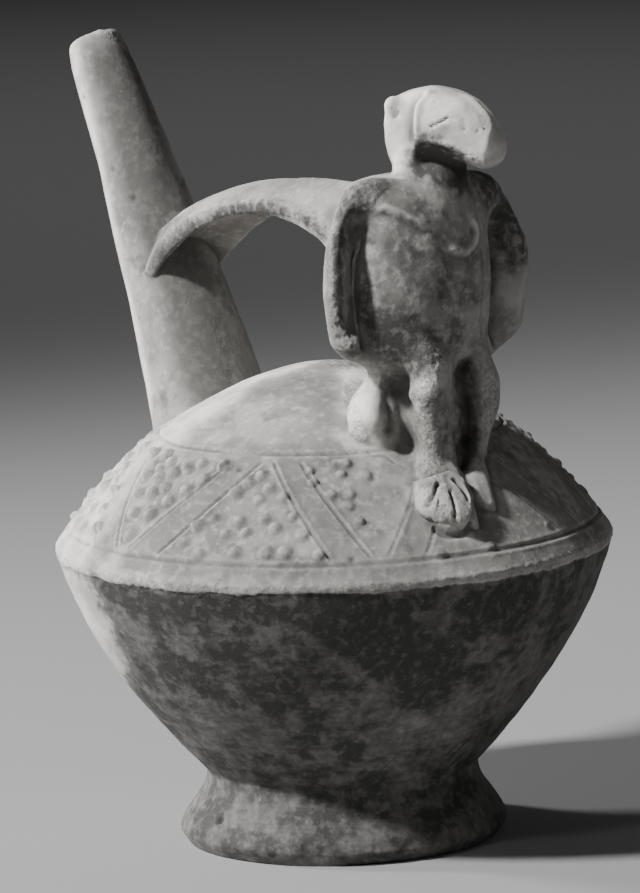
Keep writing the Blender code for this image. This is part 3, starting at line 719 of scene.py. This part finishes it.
def push(clay, facing, pixels, size, towards, aside):
    """Clay near a line of the photograph pushed bodily towards the camera or aside."""
    path = line_on_clay(pixels)
    close = close_to(clay.points, path, 2.6 * size)
    gap = along_path(clay.points[close], path)[0]
    share = np.exp(-(gap / size) ** 2) * facing[close]
    right, _, back = camera_view()[1:]
    clay.points[close] += share[:, None] * (towards * back + aside * right)


def soften(clay, facing, pixels, size, spread):
    """Rubs away facets near a line of the photograph, over a spread in millimetres."""
    path = line_on_clay(pixels)
    close = close_to(clay.points, path, 1.5 * size)
    gap = along_path(clay.points[close], path)[0]
    share = (1 - smooth_step(0.6, 1.4, gap / size)) * facing[close]
    place = np.full(len(clay.points), -1)
    place[close] = np.arange(len(close))
    edges = place[clay.edges]
    patch = Clay(clay.points[close], None, edges[np.all(edges >= 0, axis=1)])
    patch.degree = np.maximum(patch.degree, 1)
    share[patch.degree < clay.degree[close]] = 0
    for _ in range(int(8 * (spread / VOXEL) ** 2)):
        patch.points += (patch.averaged(patch.points) - patch.points) * (0.6 * share[:, None])
    clay.points[close] = patch.points


def carve(clay, path, size):
    """A round stick pressed in along a path: clay within it goes back until it is clear."""
    path = smooth_path(path, 4)
    close = close_to(clay.points, path, size)
    spots = clay.points[close]
    nearest, best, _ = nearest_on_path(spots, path)
    back = camera_view()[3]
    ahead = (spots - nearest) @ back
    far = ahead + np.sqrt(np.maximum(size ** 2 - best ** 2 + ahead ** 2, 0.0))
    clay.points[close] -= np.where(best < size, far, 0.0)[:, None] * back


def plate(clay, facing, outline, height):
    """A flat piece laid on within an outline of the photograph, with a steep edge."""
    outline = np.array(outline, float)
    close = close_to(clay.points, on_clay(outline), 4)
    spots = seen_at(clay.points[close])
    inside = np.full(len(close), np.inf)
    for start, end in zip(outline, np.roll(outline, -1, axis=0)):
        run = (end - start) / np.linalg.norm(end - start)
        inside = np.minimum(inside, (spots - start) @ (-run[1], run[0]))
    clay.lift[close] += height * smooth_step(-1.5, 2.5, inside) * facing[close]


def roughen(clay, facing, pixels, size, height, grain):
    """Coarse granular clay along a line of the photograph."""
    path = line_on_clay(pixels)
    close = close_to(clay.points, path, 1.6 * size)
    spots = clay.points[close]
    share = 1 - smooth_step(0.6, 1.3, along_path(spots, path)[0] / size)
    share *= facing[close]
    clay.lift[close] += height * share * lumpy(spots, grain, 57, 2)
    clay.grain[close] = np.maximum(clay.grain[close], share)


def dots(clay, pixels, size, height):
    """Small round mounds or dents at spots of the photograph."""
    for place in on_clay(pixels):
        thumb(clay, place, size, height)


def model_bird(clay, facing):
    """Deepens the hollow inside the near wing and the gaps between column and legs."""
    for line, reach, spread in RUBBED_BREAST.values():
        soften(clay, facing, line, reach, spread)
    hollow = on_clay(WING_HOLLOW)
    right, _, back = camera_view()[1:]
    for aside, towards, radius in WING_HOLLOW_STICKS:
        carve(clay, hollow + aside * right + towards * back, radius)
    soften(clay, np.ones(len(clay.points)), *HOLLOW_MIDDLE)
    soften(clay, facing, *HOLLOW_EDGE)
    for line, reach, towards, aside in PUSHED.values():
        push(clay, facing, line, reach, towards, aside)


def mark_bird(clay, facing):
    """The bird's face, wings, breast and toes, and its granular places."""
    for line, *sizes in (*HEAD_LINES.values(), *GROOVES.values()):
        tool_line(clay, on_clay(line), *sizes)
    for spots, size, height in (*HEAD_SPOTS.values(), *BODY_SPOTS.values()):
        dots(clay, spots, size, height)
    for ridge, height in BODY_RIDGES.values():
        tool_line(clay, on_clay(ridge), RIDGE_WIDTH, -height)
        dip = [(x - DIP_ASIDE, y + DIP_BELOW) for x, y in ridge]
        tool_line(clay, on_clay(dip), DIP_WIDTH, DIP_SHARE * height)
    for line, reach, height, grain in GRANULAR_BIRD.values():
        roughen(clay, facing, line, reach, height, grain)


def zigzag_corners():
    """Angles of the middles of the upright triangles: the first step is the widest."""
    step = (math.tau - FIRST_ZIGZAG_STEP) / (ZIGZAGS - 1)
    angles = [FIRST_ZIGZAG, FIRST_ZIGZAG + FIRST_ZIGZAG_STEP]
    while len(angles) < ZIGZAGS:
        angles.append(angles[-1] + step)
    return angles + [angles[0] + math.tau]


def slant_radius(share):
    """Radius at a share of the way down the patterned shoulder."""
    upper, lower = SHOULDER_RADIUS + 1.6, BODY_RADIUS - LOWER_RING_GAP
    return upper + (lower - upper) * share


def on_shoulder(angle, radius):
    """The point of the shoulder at an angle and a radius."""
    return np.array([radius * math.cos(angle), radius * math.sin(angle), top_height(radius)])


def trued(clay):
    """Marks the zones of the clay, smooths it all, and trues the jar and the spout."""
    raw = clay.points.copy()
    radius = np.hypot(raw[:, 0], raw[:, 1])
    nearest, gap = nearest_on_outline(raw)
    behind = (radius < nearest[:, 0] - BEHIND) | (raw[:, 2] < nearest[:, 1] - BEHIND)
    over = raw[:, 2] - top_height(radius)
    clay.inside = behind & (gap > INSIDE_SHARE * WALL) & (raw[:, 2] > FOOT_LIP_HEIGHT)
    upper = np.flatnonzero((raw[:, 0] < SPOUT_BEFORE) & (raw[:, 2] > SPOUT_ABOVE))
    share, middle, out, reach = nearest_on_spout(raw[upper])
    bore = (reach < spout_radius(share) - BORE_DEPTH) & (share > 0.06)
    clay.inside[upper] |= bore
    clay.points = clay.smoothed(raw, int(round(JOIN_SMOOTHING / VOXEL ** 2)))
    angle = np.arctan2(raw[:, 1], raw[:, 0])
    by_feet = (angle > FEET_FROM) & (angle < FEET_TO) & (radius < FEET_REACH)
    patterned = (radius > SHOULDER_RADIUS + 1) & (radius < BODY_RADIUS - 1.5) & ~by_feet
    patterned &= (raw[:, 2] > BODY_HEIGHT + 1) & (np.abs(over) < 1.9)
    hold = 1 - smooth_step(0.35, 0.9, gap)
    hold[patterned & ~behind] = 1.0
    hold[clay.inside] = 0.0
    hold[by_feet & (gap > 0.25)] = 0.0
    hold = clay.smoothed(hold, 4)
    place = nearest_on_outline(clay.points)[0]
    now = np.hypot(clay.points[:, 0], clay.points[:, 1])
    level = np.stack([clay.points[:, 0], clay.points[:, 1]], axis=1)
    level *= (place[:, 0] / np.maximum(now, 0.5))[:, None]
    target = np.column_stack([level, place[:, 1]])
    target[now < 2] = clay.points[now < 2]
    clay.points += (target - clay.points) * hold[:, None]
    true_spout = middle + out * spout_radius(share)[:, None]
    off = np.abs(reach - spout_radius(share))
    on_it = 1 - smooth_step(0.3, 0.8, off)
    on_it *= smooth_step(0.22, 0.34, share) * (1 - smooth_step(0.955, 0.975, share))
    on_it[bore] = 0.0
    clay.points[upper] += (true_spout - clay.points[upper]) * on_it[:, None]
    clay.hold = hold
    clay.spout = np.zeros(len(raw))
    clay.spout[upper] = on_it
    clay.lift = np.zeros(len(raw))
    clay.grain = np.zeros(len(raw))
    clay.pellets = np.zeros(len(raw))
    clay.bands = np.zeros(len(raw))


def worn_away(angle):
    """The pattern on the shoulder is fainter right behind the bird's feet."""
    turn = (angle + math.pi) % math.tau - math.pi
    worn = smooth_step(WORN_FROM - 0.15, WORN_FROM, turn)
    worn *= 1 - smooth_step(WORN_TO, WORN_TO + 0.3, turn)
    return 1 - 0.6 * worn


def press_lumps(clay):
    """Pellets pressed on in rows that fill upright triangles and, between them, inverted ones."""
    chance = random.Random(11)
    corners = zigzag_corners()
    for first, second in zip(corners, corners[1:]):
        half = (second - first) / 2
        for centre, upright in ((first, True), (first + half, False)):
            corners_of = [on_shoulder(centre + turn, slant_radius(share))
                          for turn in (-half, 0, half) for share in (0, 1)]
            among = close_to(clay.points, np.array(corners_of), 4)
            for row in range(LUMP_ROWS):
                count = row + 1 if upright else LUMP_ROWS - row
                share = FIRST_UPRIGHT_ROW if upright else FIRST_INVERTED_ROW
                share += ROWS_REACH * row / (LUMP_ROWS - 1)
                spread = half * (1 - 2 * BAND_SHARE) * (count - 1) / LUMP_ROWS
                for i in range(count):
                    aside = 0.0 if count == 1 else (2 * i / (count - 1) - 1) * spread
                    radius = slant_radius(share) + chance.gauss(0, LUMP_STRAY)
                    angle = centre + aside + chance.gauss(0, LUMP_STRAY_ASIDE) / radius
                    size = LUMP_RADIUS * chance.uniform(*LUMP_SIZES)
                    height = LUMP_HEIGHT * chance.uniform(*LUMP_HEIGHTS)
                    if centre < LARGE_LUMPS_TO and not upright:
                        size, height = LARGER * size, HIGHER * height
                    height *= worn_away(angle)
                    if FEET_FROM < (angle + math.pi) % math.tau - math.pi < FEET_TO:
                        if radius < FEET_REACH:
                            continue
                    place = on_shoulder(angle, radius)
                    thumb(clay, place, size, height, 4.0, among)
                    thumb(clay, place, size * 1.7, -0.22 * height, 2.0, among)
                    gap = np.linalg.norm(clay.points[among] - place, axis=1) / size
                    dark = (1 - smooth_step(0.75, 1.35, gap)) * chance.uniform(0.5, 1.0)
                    clay.pellets[among] = np.maximum(clay.pellets[among], dark)


def incise_bands(clay):
    """Two lines along each plain band of the zigzag, with the burr that the tool pushed up."""
    width, depth, burr, ends = BAND_LINE
    corners = zigzag_corners()
    for first, second in zip(corners, corners[1:]):
        half = (second - first) / 2
        band = half * BAND_SHARE * 2
        for start, way in ((first, 1), (second, -1)):
            for top, bottom in ((LINE_INSET, half - band), (band, half - LINE_INSET)):
                path = []
                for share in np.linspace(0.0, 1.0, 9):
                    angle = start + way * (top + (bottom - top) * share)
                    path.append(on_shoulder(angle, slant_radius(0.96 * share + 0.02)))
                left = worn_away(start + way * half / 2)
                tool_line(clay, path, width, depth * left, burr * left, ends)
            fill_band(clay, start, way, half, band)


def fill_band(clay, start, way, half, band):
    """Marks the plain band between two of the zigzag's lines."""
    ends = [on_shoulder(start + way * turn, slant_radius(share))
            for turn in (0, half) for share in (0, 1)]
    close = close_to(clay.points, np.array(ends), 3)
    spots = clay.points[close]
    radius = np.hypot(spots[:, 0], spots[:, 1])
    upper, lower = slant_radius(0), slant_radius(1)
    share = np.clip((radius - upper) / (lower - upper), 0, 1)
    turn = (np.arctan2(spots[:, 1], spots[:, 0]) - start + math.pi) % math.tau - math.pi
    first = LINE_INSET + (half - band - LINE_INSET) * share
    last = band + (half - LINE_INSET - band) * share
    soft = 0.8 / radius
    within = smooth_step(0, soft, way * turn - first) * smooth_step(0, soft, last - way * turn)
    within *= np.abs(spots[:, 2] - top_height(radius)) < 1.5
    clay.bands[close] = np.maximum(clay.bands[close], within)


def incise_rings(clay):
    """The ring at the top of the pattern and the ring just above the widest edge."""
    points = clay.points
    place = np.stack([np.hypot(points[:, 0], points[:, 1]), points[:, 2]], axis=1)
    wander = RING_WANDER * lumpy(points * (1, 1, 0), RING_WANDER_LENGTH, 31)
    strength = RING_PRESSURE + RING_PRESSURE_CHANGE * lumpy(points, RING_PRESSURE_LENGTH, 41)
    for radius, depth in RINGS:
        gap = np.hypot(place[:, 0] - radius - wander, place[:, 1] - top_height(radius))
        shape = -depth * np.exp(-(gap / RING_WIDTH) ** 2)
        shape += RING_BURR * np.exp(-((gap - RING_BURR_FROM) / RING_BURR_WIDTH) ** 2)
        clay.lift += shape * strength * clay.hold


def worn_edge(clay):
    """The pale slip ends in a ragged step below the jar's edge, and the edge itself is crumbly."""
    points = clay.points
    height = points[:, 2] - BODY_HEIGHT
    step = SLIP_END + SLIP_WAVES * lumpy(points * (1, 1, 0), SLIP_WAVE_LENGTH, 71)
    step += SLIP_CRUMBS * lumpy(points, SLIP_CRUMB_SIZE, 73, 2)
    below = 1 - smooth_step(-0.35, 0.35, height - step)
    clay.lift -= SLIP_STEP * below * smooth_step(-30.0, -6.0, height) * clay.hold
    crumbly = smooth_step(*CRUMBLY_FROM, height) * (1 - smooth_step(*CRUMBLY_TO, height))
    crumbly *= clay.hold
    clay.lift += crumbly * (CRUMBS * lumpy(points, CRUMB_SIZE, 75, 2) - CLAY_LOST)
    clay.grain = np.maximum(clay.grain, 0.75 * crumbly)
    clay.slip = 1 - below


def wear(clay, facing):
    """Chips and pits, and the uneven strokes that smoothed the jar and the spout."""
    points = clay.points
    clay.lift += JAR_STROKES * clay.hold * lumpy(points * (1, 1, 5), 20.0, 81)
    clay.lift += SPOUT_STROKES * clay.spout * lumpy(points * (1, 1, 0.2), 7.0, 83)
    for line, reach, height, grain in GRANULAR_JAR.values():
        roughen(clay, facing, line, reach, height, grain)
    for spots, size, height in JAR_SPOTS.values():
        dots(clay, spots, size, height)


def hand_made(clay):
    """Slow unevenness of a hand-formed jar, and finer ones over all its outside."""
    outer = ~clay.inside
    spots = clay.points[outer]
    for height, size, seed in UNEVENNESS:
        clay.lift[outer] += height * lumpy(spots, size, seed)


def finish_clay(clay):
    """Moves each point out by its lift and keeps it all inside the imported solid's box."""
    clay.points += clay.normals() * clay.lift[:, None]
    low = (np.array(CAD_LOW) - np.array(AXIS)) / MM
    high = (np.array(CAD_HIGH) - np.array(AXIS)) / MM
    clay.points = np.clip(clay.points, low, high)


def paint(clay, mask, facing, lines):
    """Marks clay near some lines of the photograph for one of the material's tones."""
    for pixels, size, amount in lines:
        path = line_on_clay(pixels)
        close = close_to(clay.points, path, 1.6 * size)
        gap = along_path(clay.points[close], path)[0]
        share = amount * (1 - smooth_step(0.4, 1.4, gap / size)) * facing[close]
        mask[close] = np.maximum(mask[close], share)


def tones(clay, facing):
    """Marks from 0 to 1: soot, pale clay with painted light, earth with painted shade, dull clay
    with painted shade, grain, hollows and raised places.
    """
    points = clay.points
    height = points[:, 2]
    turn = np.degrees(np.arctan2(points[:, 1], points[:, 0]) - CAMERA_TURN) + 90
    turn = (turn + 180) % 360 - 180
    left = CLOUD_LEFT + CLOUD_LEFT_SHIFT * smooth_step(*CLOUD_LEFT_HEIGHTS, height)
    cloud = smooth_step(0, CLOUD_EDGE, turn - left) * (1 - smooth_step(*CLOUD_RIGHT, turn))
    more = smooth_step(*CLOUD_MORE_HEIGHTS, height) * smooth_step(*CLOUD_MORE_TURNS, turn)
    cloud *= CLOUD_STRENGTH + CLOUD_MORE * more
    soot = cloud * (1 - clay.slip) * (height < BODY_HEIGHT)
    paint(clay, soot, facing, SOOTY.values())
    soot *= 1 - clay.slip
    soot[clay.inside] = 0.5

    pale = 0.15 * clay.slip * smooth_step(62, 70, height) * (height < BODY_HEIGHT + 3) * clay.hold
    # painted light: the jar's side towards the left lamps is made paler
    painted_light_on_left = smooth_step(-50, -75, turn) * smooth_step(-160, -120, turn) * clay.hold
    pale = np.maximum(pale, 0.8 * painted_light_on_left * smooth_step(40, 60, height))
    # pale clay, and painted light on the lit left sides
    paint(clay, pale, facing, PALE_AND_PAINTED_LIGHT.values())
    paint(clay, pale, facing, [
        (BODY_RIDGES[ridge][0], PALE_RIDGE_REACH, PALE_RIDGE_STRENGTH) for ridge in PALE_RIDGES
    ])

    earth_and_painted_shade = np.zeros(len(points))
    # earth, and painted shade in the bird's hollows and gaps
    paint(clay, earth_and_painted_shade, facing, EARTH_AND_PAINTED_SHADE.values())

    dull_and_painted_shade = np.zeros(len(points))
    # duller clay, and painted shade on the spout's front
    paint(clay, dull_and_painted_shade, facing, DULL_AND_PAINTED_SHADE.values())
    dull_and_painted_shade = np.maximum(dull_and_painted_shade, 0.55 * clay.pellets)
    # the bands are painted less dull on that lit side
    dull_and_painted_shade = np.maximum(dull_and_painted_shade, 0.42 * clay.bands * (1 - 0.6 * painted_light_on_left))

    normals = clay.normals()
    fine = np.einsum("ij,ij->i", clay.smoothed(points, 3 * fineness()) - points, normals)
    broad = np.einsum("ij,ij->i", clay.smoothed(points, 30 * fineness()) - points, normals)
    # concave places, which the material darkens with earth and painted crease shade
    hollow = smooth_step(0.01, 0.12, fine) * 0.6 + smooth_step(0.03, 0.35, broad) * 0.8
    raised = smooth_step(0.02, 0.14, -fine) * 0.5 + smooth_step(0.10, 0.6, -broad) * 0.6
    return {
        "soot": soot, "pale": pale, "earth_and_painted_shade": earth_and_painted_shade, "dull_and_painted_shade": dull_and_painted_shade, "grain": clay.grain,
        "hollow": np.clip(hollow, 0, 1), "raised": np.clip(raised, 0, 1),
    }


def fineness():
    """How many times as many smoothing rounds this mesh needs as the one the tones were set on."""
    return max(1, int(round((TONE_VOXEL / VOXEL) ** 2)))


def final_mesh(clay, name, marks):
    """The clay as a lighter mesh, coarse inside, with the marks as attributes."""
    mesh = bpy.data.meshes.new(name)
    places = clay.points * MM + np.array(AXIS)
    mesh.from_pydata(places, [], clay.faces.tolist())
    made = placed(name, mesh)
    spare = made.vertex_groups.new(name="inside")
    spare.add(np.flatnonzero(clay.inside).tolist(), 1.0, "REPLACE")
    coarse = made.modifiers.new("coarse inside", "DECIMATE")
    coarse.vertex_group = spare.name
    coarse.ratio = 1.0 - 0.9 * clay.inside.mean()
    fewer = made.modifiers.new("fewer faces", "DECIMATE")
    fewer.ratio = min(1.0, MOST_TRIANGLES / (2 * len(clay.faces) * coarse.ratio))
    shape = bpy.data.meshes.new_from_object(
        made.evaluated_get(bpy.context.evaluated_depsgraph_get())
    )
    made.modifiers.clear()
    made.vertex_groups.clear()
    made.data = shape
    made.data.name = name
    made.data.shade_smooth()
    tree = KDTree(len(places))
    for number, place in enumerate(places.tolist()):
        tree.insert(place, number)
    tree.balance()
    nearest = np.array([tree.find(vertex.co)[1] for vertex in shape.vertices])
    for mark, values in marks.items():
        layer = shape.attributes.new(mark, "FLOAT", "POINT")
        layer.data.foreach_set("value", values[nearest].astype(np.float32))
    return made


class Graph:
    """Short calls that add nodes to one tree and join them."""

    def __init__(self, tree):
        self.tree = tree

    def node(self, kind, inputs, **settings):
        made = self.tree.nodes.new(kind)
        for name, value in settings.items():
            setattr(made, name, value)
        for name, value in inputs.items():
            if isinstance(value, bpy.types.NodeSocket):
                self.tree.links.new(value, made.inputs[name])
            else:
                made.inputs[name].default_value = value
        return made

    def mark(self, name):
        """One of the clay's marks, as the mesh carries them."""
        return self.node("ShaderNodeAttribute", {}, attribute_name=name).outputs["Fac"]

    def noise(self, size, stretch=(1, 1, 1), detail=5.0, roughness=0.6, shift=0.0):
        """Noise from 0 to 1 with features of about this size in millimetres."""
        place = self.node("ShaderNodeTexCoord", {}).outputs["Object"]
        scaled = self.node(
            "ShaderNodeMapping", {"Vector": place, "Scale": stretch, "Location": (shift, 0, 0)}
        )
        inputs = {
            "Vector": scaled.outputs["Vector"], "Scale": 1 / (size * MM),
            "Detail": detail, "Roughness": roughness,
        }
        return self.node("ShaderNodeTexNoise", inputs).outputs["Fac"]

    def ramp(self, value, low, high, start=0.0, end=1.0):
        """An even turn from start to end between two levels of a value."""
        inputs = {"Value": value, "From Min": low, "From Max": high, "To Min": start, "To Max": end}
        made = self.node("ShaderNodeMapRange", inputs, interpolation_type="SMOOTHSTEP")
        return made.outputs["Result"]

    def maths(self, kind, first, second):
        """One sum or product."""
        return self.node("ShaderNodeMath", {0: first, 1: second}, operation=kind).outputs[0]

    def blend(self, share, first, second):
        """The first colour with a share of the second."""
        made = self.node("ShaderNodeMix", {0: share, 6: first, 7: second}, data_type="RGBA")
        return made.outputs[2]


def grey(value):
    """A nearly neutral, slightly warm clay tone of this brightness."""
    return (value * 1.035, value, value * 0.945, 1.0)


def weathered_clay():
    """The tones and grain of old fired clay, with painted light and painted shade, as one group of
    nodes.
    """
    tree = bpy.data.node_groups.new("weathered_clay", "ShaderNodeTree")
    for name in ("Base Color", "Roughness", "Height"):
        kind = "NodeSocketColor" if name == "Base Color" else "NodeSocketFloat"
        tree.interface.new_socket(name, in_out="OUTPUT", socket_type=kind)
    g = Graph(tree)
    broad = g.noise(26)
    patchy = g.noise(8, shift=3.0)
    fine = g.noise(2.2, shift=7.0)
    speck = g.noise(0.8, detail=3.0, shift=9.0)
    stroke = g.noise(16, (1, 1, 6), shift=5.0)

    # mottled clay, paler where it is rubbed clean, and pale clay with painted light on the lit left
    # sides
    colour = g.blend(g.ramp(broad, 0.36, 0.64), grey(DARK_GROUND), grey(PALE_GROUND))
    colour = g.blend(g.ramp(patchy, 0.46, 0.66, 0.0, 0.8), colour, grey(BROWN_PATCHES))
    colour = g.blend(g.ramp(fine, 0.50, 0.68, 0.0, 0.5), colour, grey(DUST))
    rubbed = g.maths("MULTIPLY", g.mark("raised"), g.ramp(fine, 0.35, 0.6, 0.3, 1.0))
    colour = g.blend(g.maths("MULTIPLY", rubbed, 0.55), colour, grey(RUBBED_CLAY))
    pale_and_painted_light = g.maths("MULTIPLY", g.mark("pale"), g.ramp(patchy, 0.36, 0.62, 1.0, 0.55))
    colour = g.blend(pale_and_painted_light, colour, grey(PALE_CLAY_AND_PAINTED_LIGHT))

    # duller clay and painted shade on the spout's front, then earth and painted shade in patches,
    # and earth and painted crease shade in the hollows
    dull_and_painted_shade = g.maths("MULTIPLY", g.mark("dull_and_painted_shade"), g.ramp(fine, 0.35, 0.65, 1.05, 0.85))
    colour = g.blend(dull_and_painted_shade, colour, grey(DULL_CLAY_AND_PAINTED_SHADE))
    patches = g.maths("MULTIPLY", g.mark("earth_and_painted_shade"), g.ramp(patchy, 0.34, 0.66, 0.55, 1.25))
    patches = g.maths("MULTIPLY", patches, g.ramp(fine, 0.35, 0.65, 1.2, 0.6))
    colour = g.blend(g.ramp(patches, 0.0, 1.0, 0.0, 0.93), colour, grey(EARTH_AND_PAINTED_SHADE_TONE))
    crease_earth_and_shade = g.maths("MULTIPLY", g.mark("hollow"), g.ramp(patchy, 0.3, 0.6, 0.5, 1.0))
    colour = g.blend(g.maths("MULTIPLY", crease_earth_and_shade, 0.7), colour, grey(CREASE_EARTH_AND_PAINTED_SHADE))

    # the fire cloud, worn through in strokes and specks
    cloud = g.maths("ADD", g.mark("soot"), g.ramp(patchy, 0.3, 0.7, -0.2, 0.2))
    cloud = g.maths("ADD", cloud, g.ramp(broad, 0.3, 0.7, -0.2, 0.2))
    cloud = g.maths("ADD", cloud, g.ramp(stroke, 0.3, 0.7, -0.09, 0.09))
    sooty = g.ramp(cloud, 0.2, 0.6)
    worn = g.blend(g.ramp(fine, 0.38, 0.66), grey(WORN_SOOT_DARK), grey(WORN_SOOT_PALE))
    black = g.blend(g.ramp(fine, 0.48, 0.68), grey(SOOT), grey(DUSTY_SOOT))
    tone = g.blend(g.ramp(cloud, 0.66, 1.0), worn, black)
    colour = g.blend(sooty, colour, tone)

    # loose dust specks everywhere and dark pits on the granular clay
    colour = g.blend(g.ramp(speck, 0.66, 0.78, 0.0, 0.5), colour, grey(DUST_SPECKS))
    pits = g.maths("MULTIPLY", g.mark("grain"), g.ramp(speck, 0.50, 0.34, 0.0, 0.45))
    colour = g.blend(pits, colour, grey(PITS))

    rough = g.ramp(cloud, 0.3, 0.9, 0.92, 0.74)
    coarse = g.noise(1.3, detail=4.0, roughness=0.75, shift=2.0)
    grains = g.maths("MULTIPLY", coarse, g.ramp(g.mark("grain"), 0, 1, 0.15, 0.9))
    height = g.maths("ADD", grains, g.maths("MULTIPLY", fine, 0.22))
    height = g.maths("ADD", height, g.maths("MULTIPLY", stroke, 0.10))
    made = tree.nodes.new("NodeGroupOutput")
    tree.links.new(colour, made.inputs["Base Color"])
    tree.links.new(rough, made.inputs["Roughness"])
    tree.links.new(height, made.inputs["Height"])
    return tree


def fired_clay():
    """Matt, dusty fired clay."""
    material = bpy.data.materials.new("fired_clay")
    material.use_nodes = True
    g = Graph(material.node_tree)
    surface = material.node_tree.nodes["Principled BSDF"]
    clay_tones = material.node_tree.nodes.new("ShaderNodeGroup")
    clay_tones.node_tree = weathered_clay()
    bump = g.node(
        "ShaderNodeBump",
        {"Height": clay_tones.outputs["Height"], "Strength": 0.8, "Distance": 0.9 * MM},
    )
    join = material.node_tree.links.new
    join(clay_tones.outputs["Base Color"], surface.inputs["Base Color"])
    join(clay_tones.outputs["Roughness"], surface.inputs["Roughness"])
    join(bump.outputs["Normal"], surface.inputs["Normal"])
    surface.inputs["Specular IOR Level"].default_value = 0.35
    return material


def make_floor():
    """A plain pale floor that fills the picture behind the vessel."""
    sides = ((-1, -1), (1, -1), (1, 1), (-1, 1))
    points = [AXIS + Vector((x, y, 0)) * FLOOR_HALF_WIDTH for x, y in sides]
    mesh = bpy.data.meshes.new("floor")
    mesh.from_pydata(points, [], [(0, 1, 2, 3)])
    floor = placed("floor", mesh)
    material = bpy.data.materials.new("pale_floor")
    material.use_nodes = True
    surface = material.node_tree.nodes["Principled BSDF"]
    surface.inputs["Base Color"].default_value = (*[FLOOR_TONE] * 3, 1.0)
    surface.inputs["Roughness"].default_value = 0.9
    mesh.materials.append(material)


def lamp(name, place, power, cone, radius):
    """A soft round lamp whose cone fades to its edge; as made it points straight down."""
    data = bpy.data.lights.new(name, "SPOT")
    data.energy = power
    data.spot_size = cone
    data.spot_blend = 1.0
    data.shadow_soft_size = radius
    made = placed(name, data)
    made.location = place
    return made


def make_lights():
    """One strong lamp on the left, weaker ones beside it and on the right, and little else.

    The lamp above the far floor lights nothing on the vessel itself.
    """
    back = camera_view()[3]
    away = Vector((-back[0], -back[1], 0.0)).normalized()
    far = AXIS + away * FAR_LAMP_AWAY + Vector((0, 0, FAR_LAMP_HEIGHT))
    lamp("lamp_above_the_far_floor", far, FAR_LAMP_POWER, FAR_LAMP_CONE, FAR_LAMP_RADIUS)
    for name, (turn, height, power) in LAMPS.items():
        angle = CAMERA_TURN + math.radians(turn)
        level = math.radians(height)
        towards = Vector(
            (math.sin(angle) * math.cos(level), -math.cos(angle) * math.cos(level), math.sin(level))
        )
        place = AXIS + Vector((0, 0, LAMP_AIM_HEIGHT)) * MM + towards * LAMP_DISTANCE
        made = lamp(name, place, power, LAMP_CONE, LAMP_RADIUS)
        made.rotation_mode = "QUATERNION"
        made.rotation_quaternion = towards.to_track_quat("Z", "Y")
    world = bpy.data.worlds.new("studio")
    world.use_nodes = True
    room = world.node_tree.nodes["Background"]
    room.inputs["Color"].default_value = (0.5, 0.5, 0.5, 1.0)
    room.inputs["Strength"].default_value = ROOM_LIGHT
    bpy.context.scene.world = world


make_camera()
make_floor()
make_lights()
clay = fused("vessel", VOXEL)
trued(clay)
facing = front_facing(clay)
model_bird(clay, facing)
plate(clay, facing, NEAR_FOOT, NEAR_FOOT_HEIGHT)
mark_bird(clay, facing)
press_lumps(clay)
incise_bands(clay)
incise_rings(clay)
worn_edge(clay)
wear(clay, facing)
hand_made(clay)
finish_clay(clay)
marks = tones(clay, facing)
vessel = final_mesh(clay, "clay_vessel", marks)
vessel.data.materials.clear()
vessel.data.materials.append(fired_clay())
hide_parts("vessel")
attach(vessel, "root")
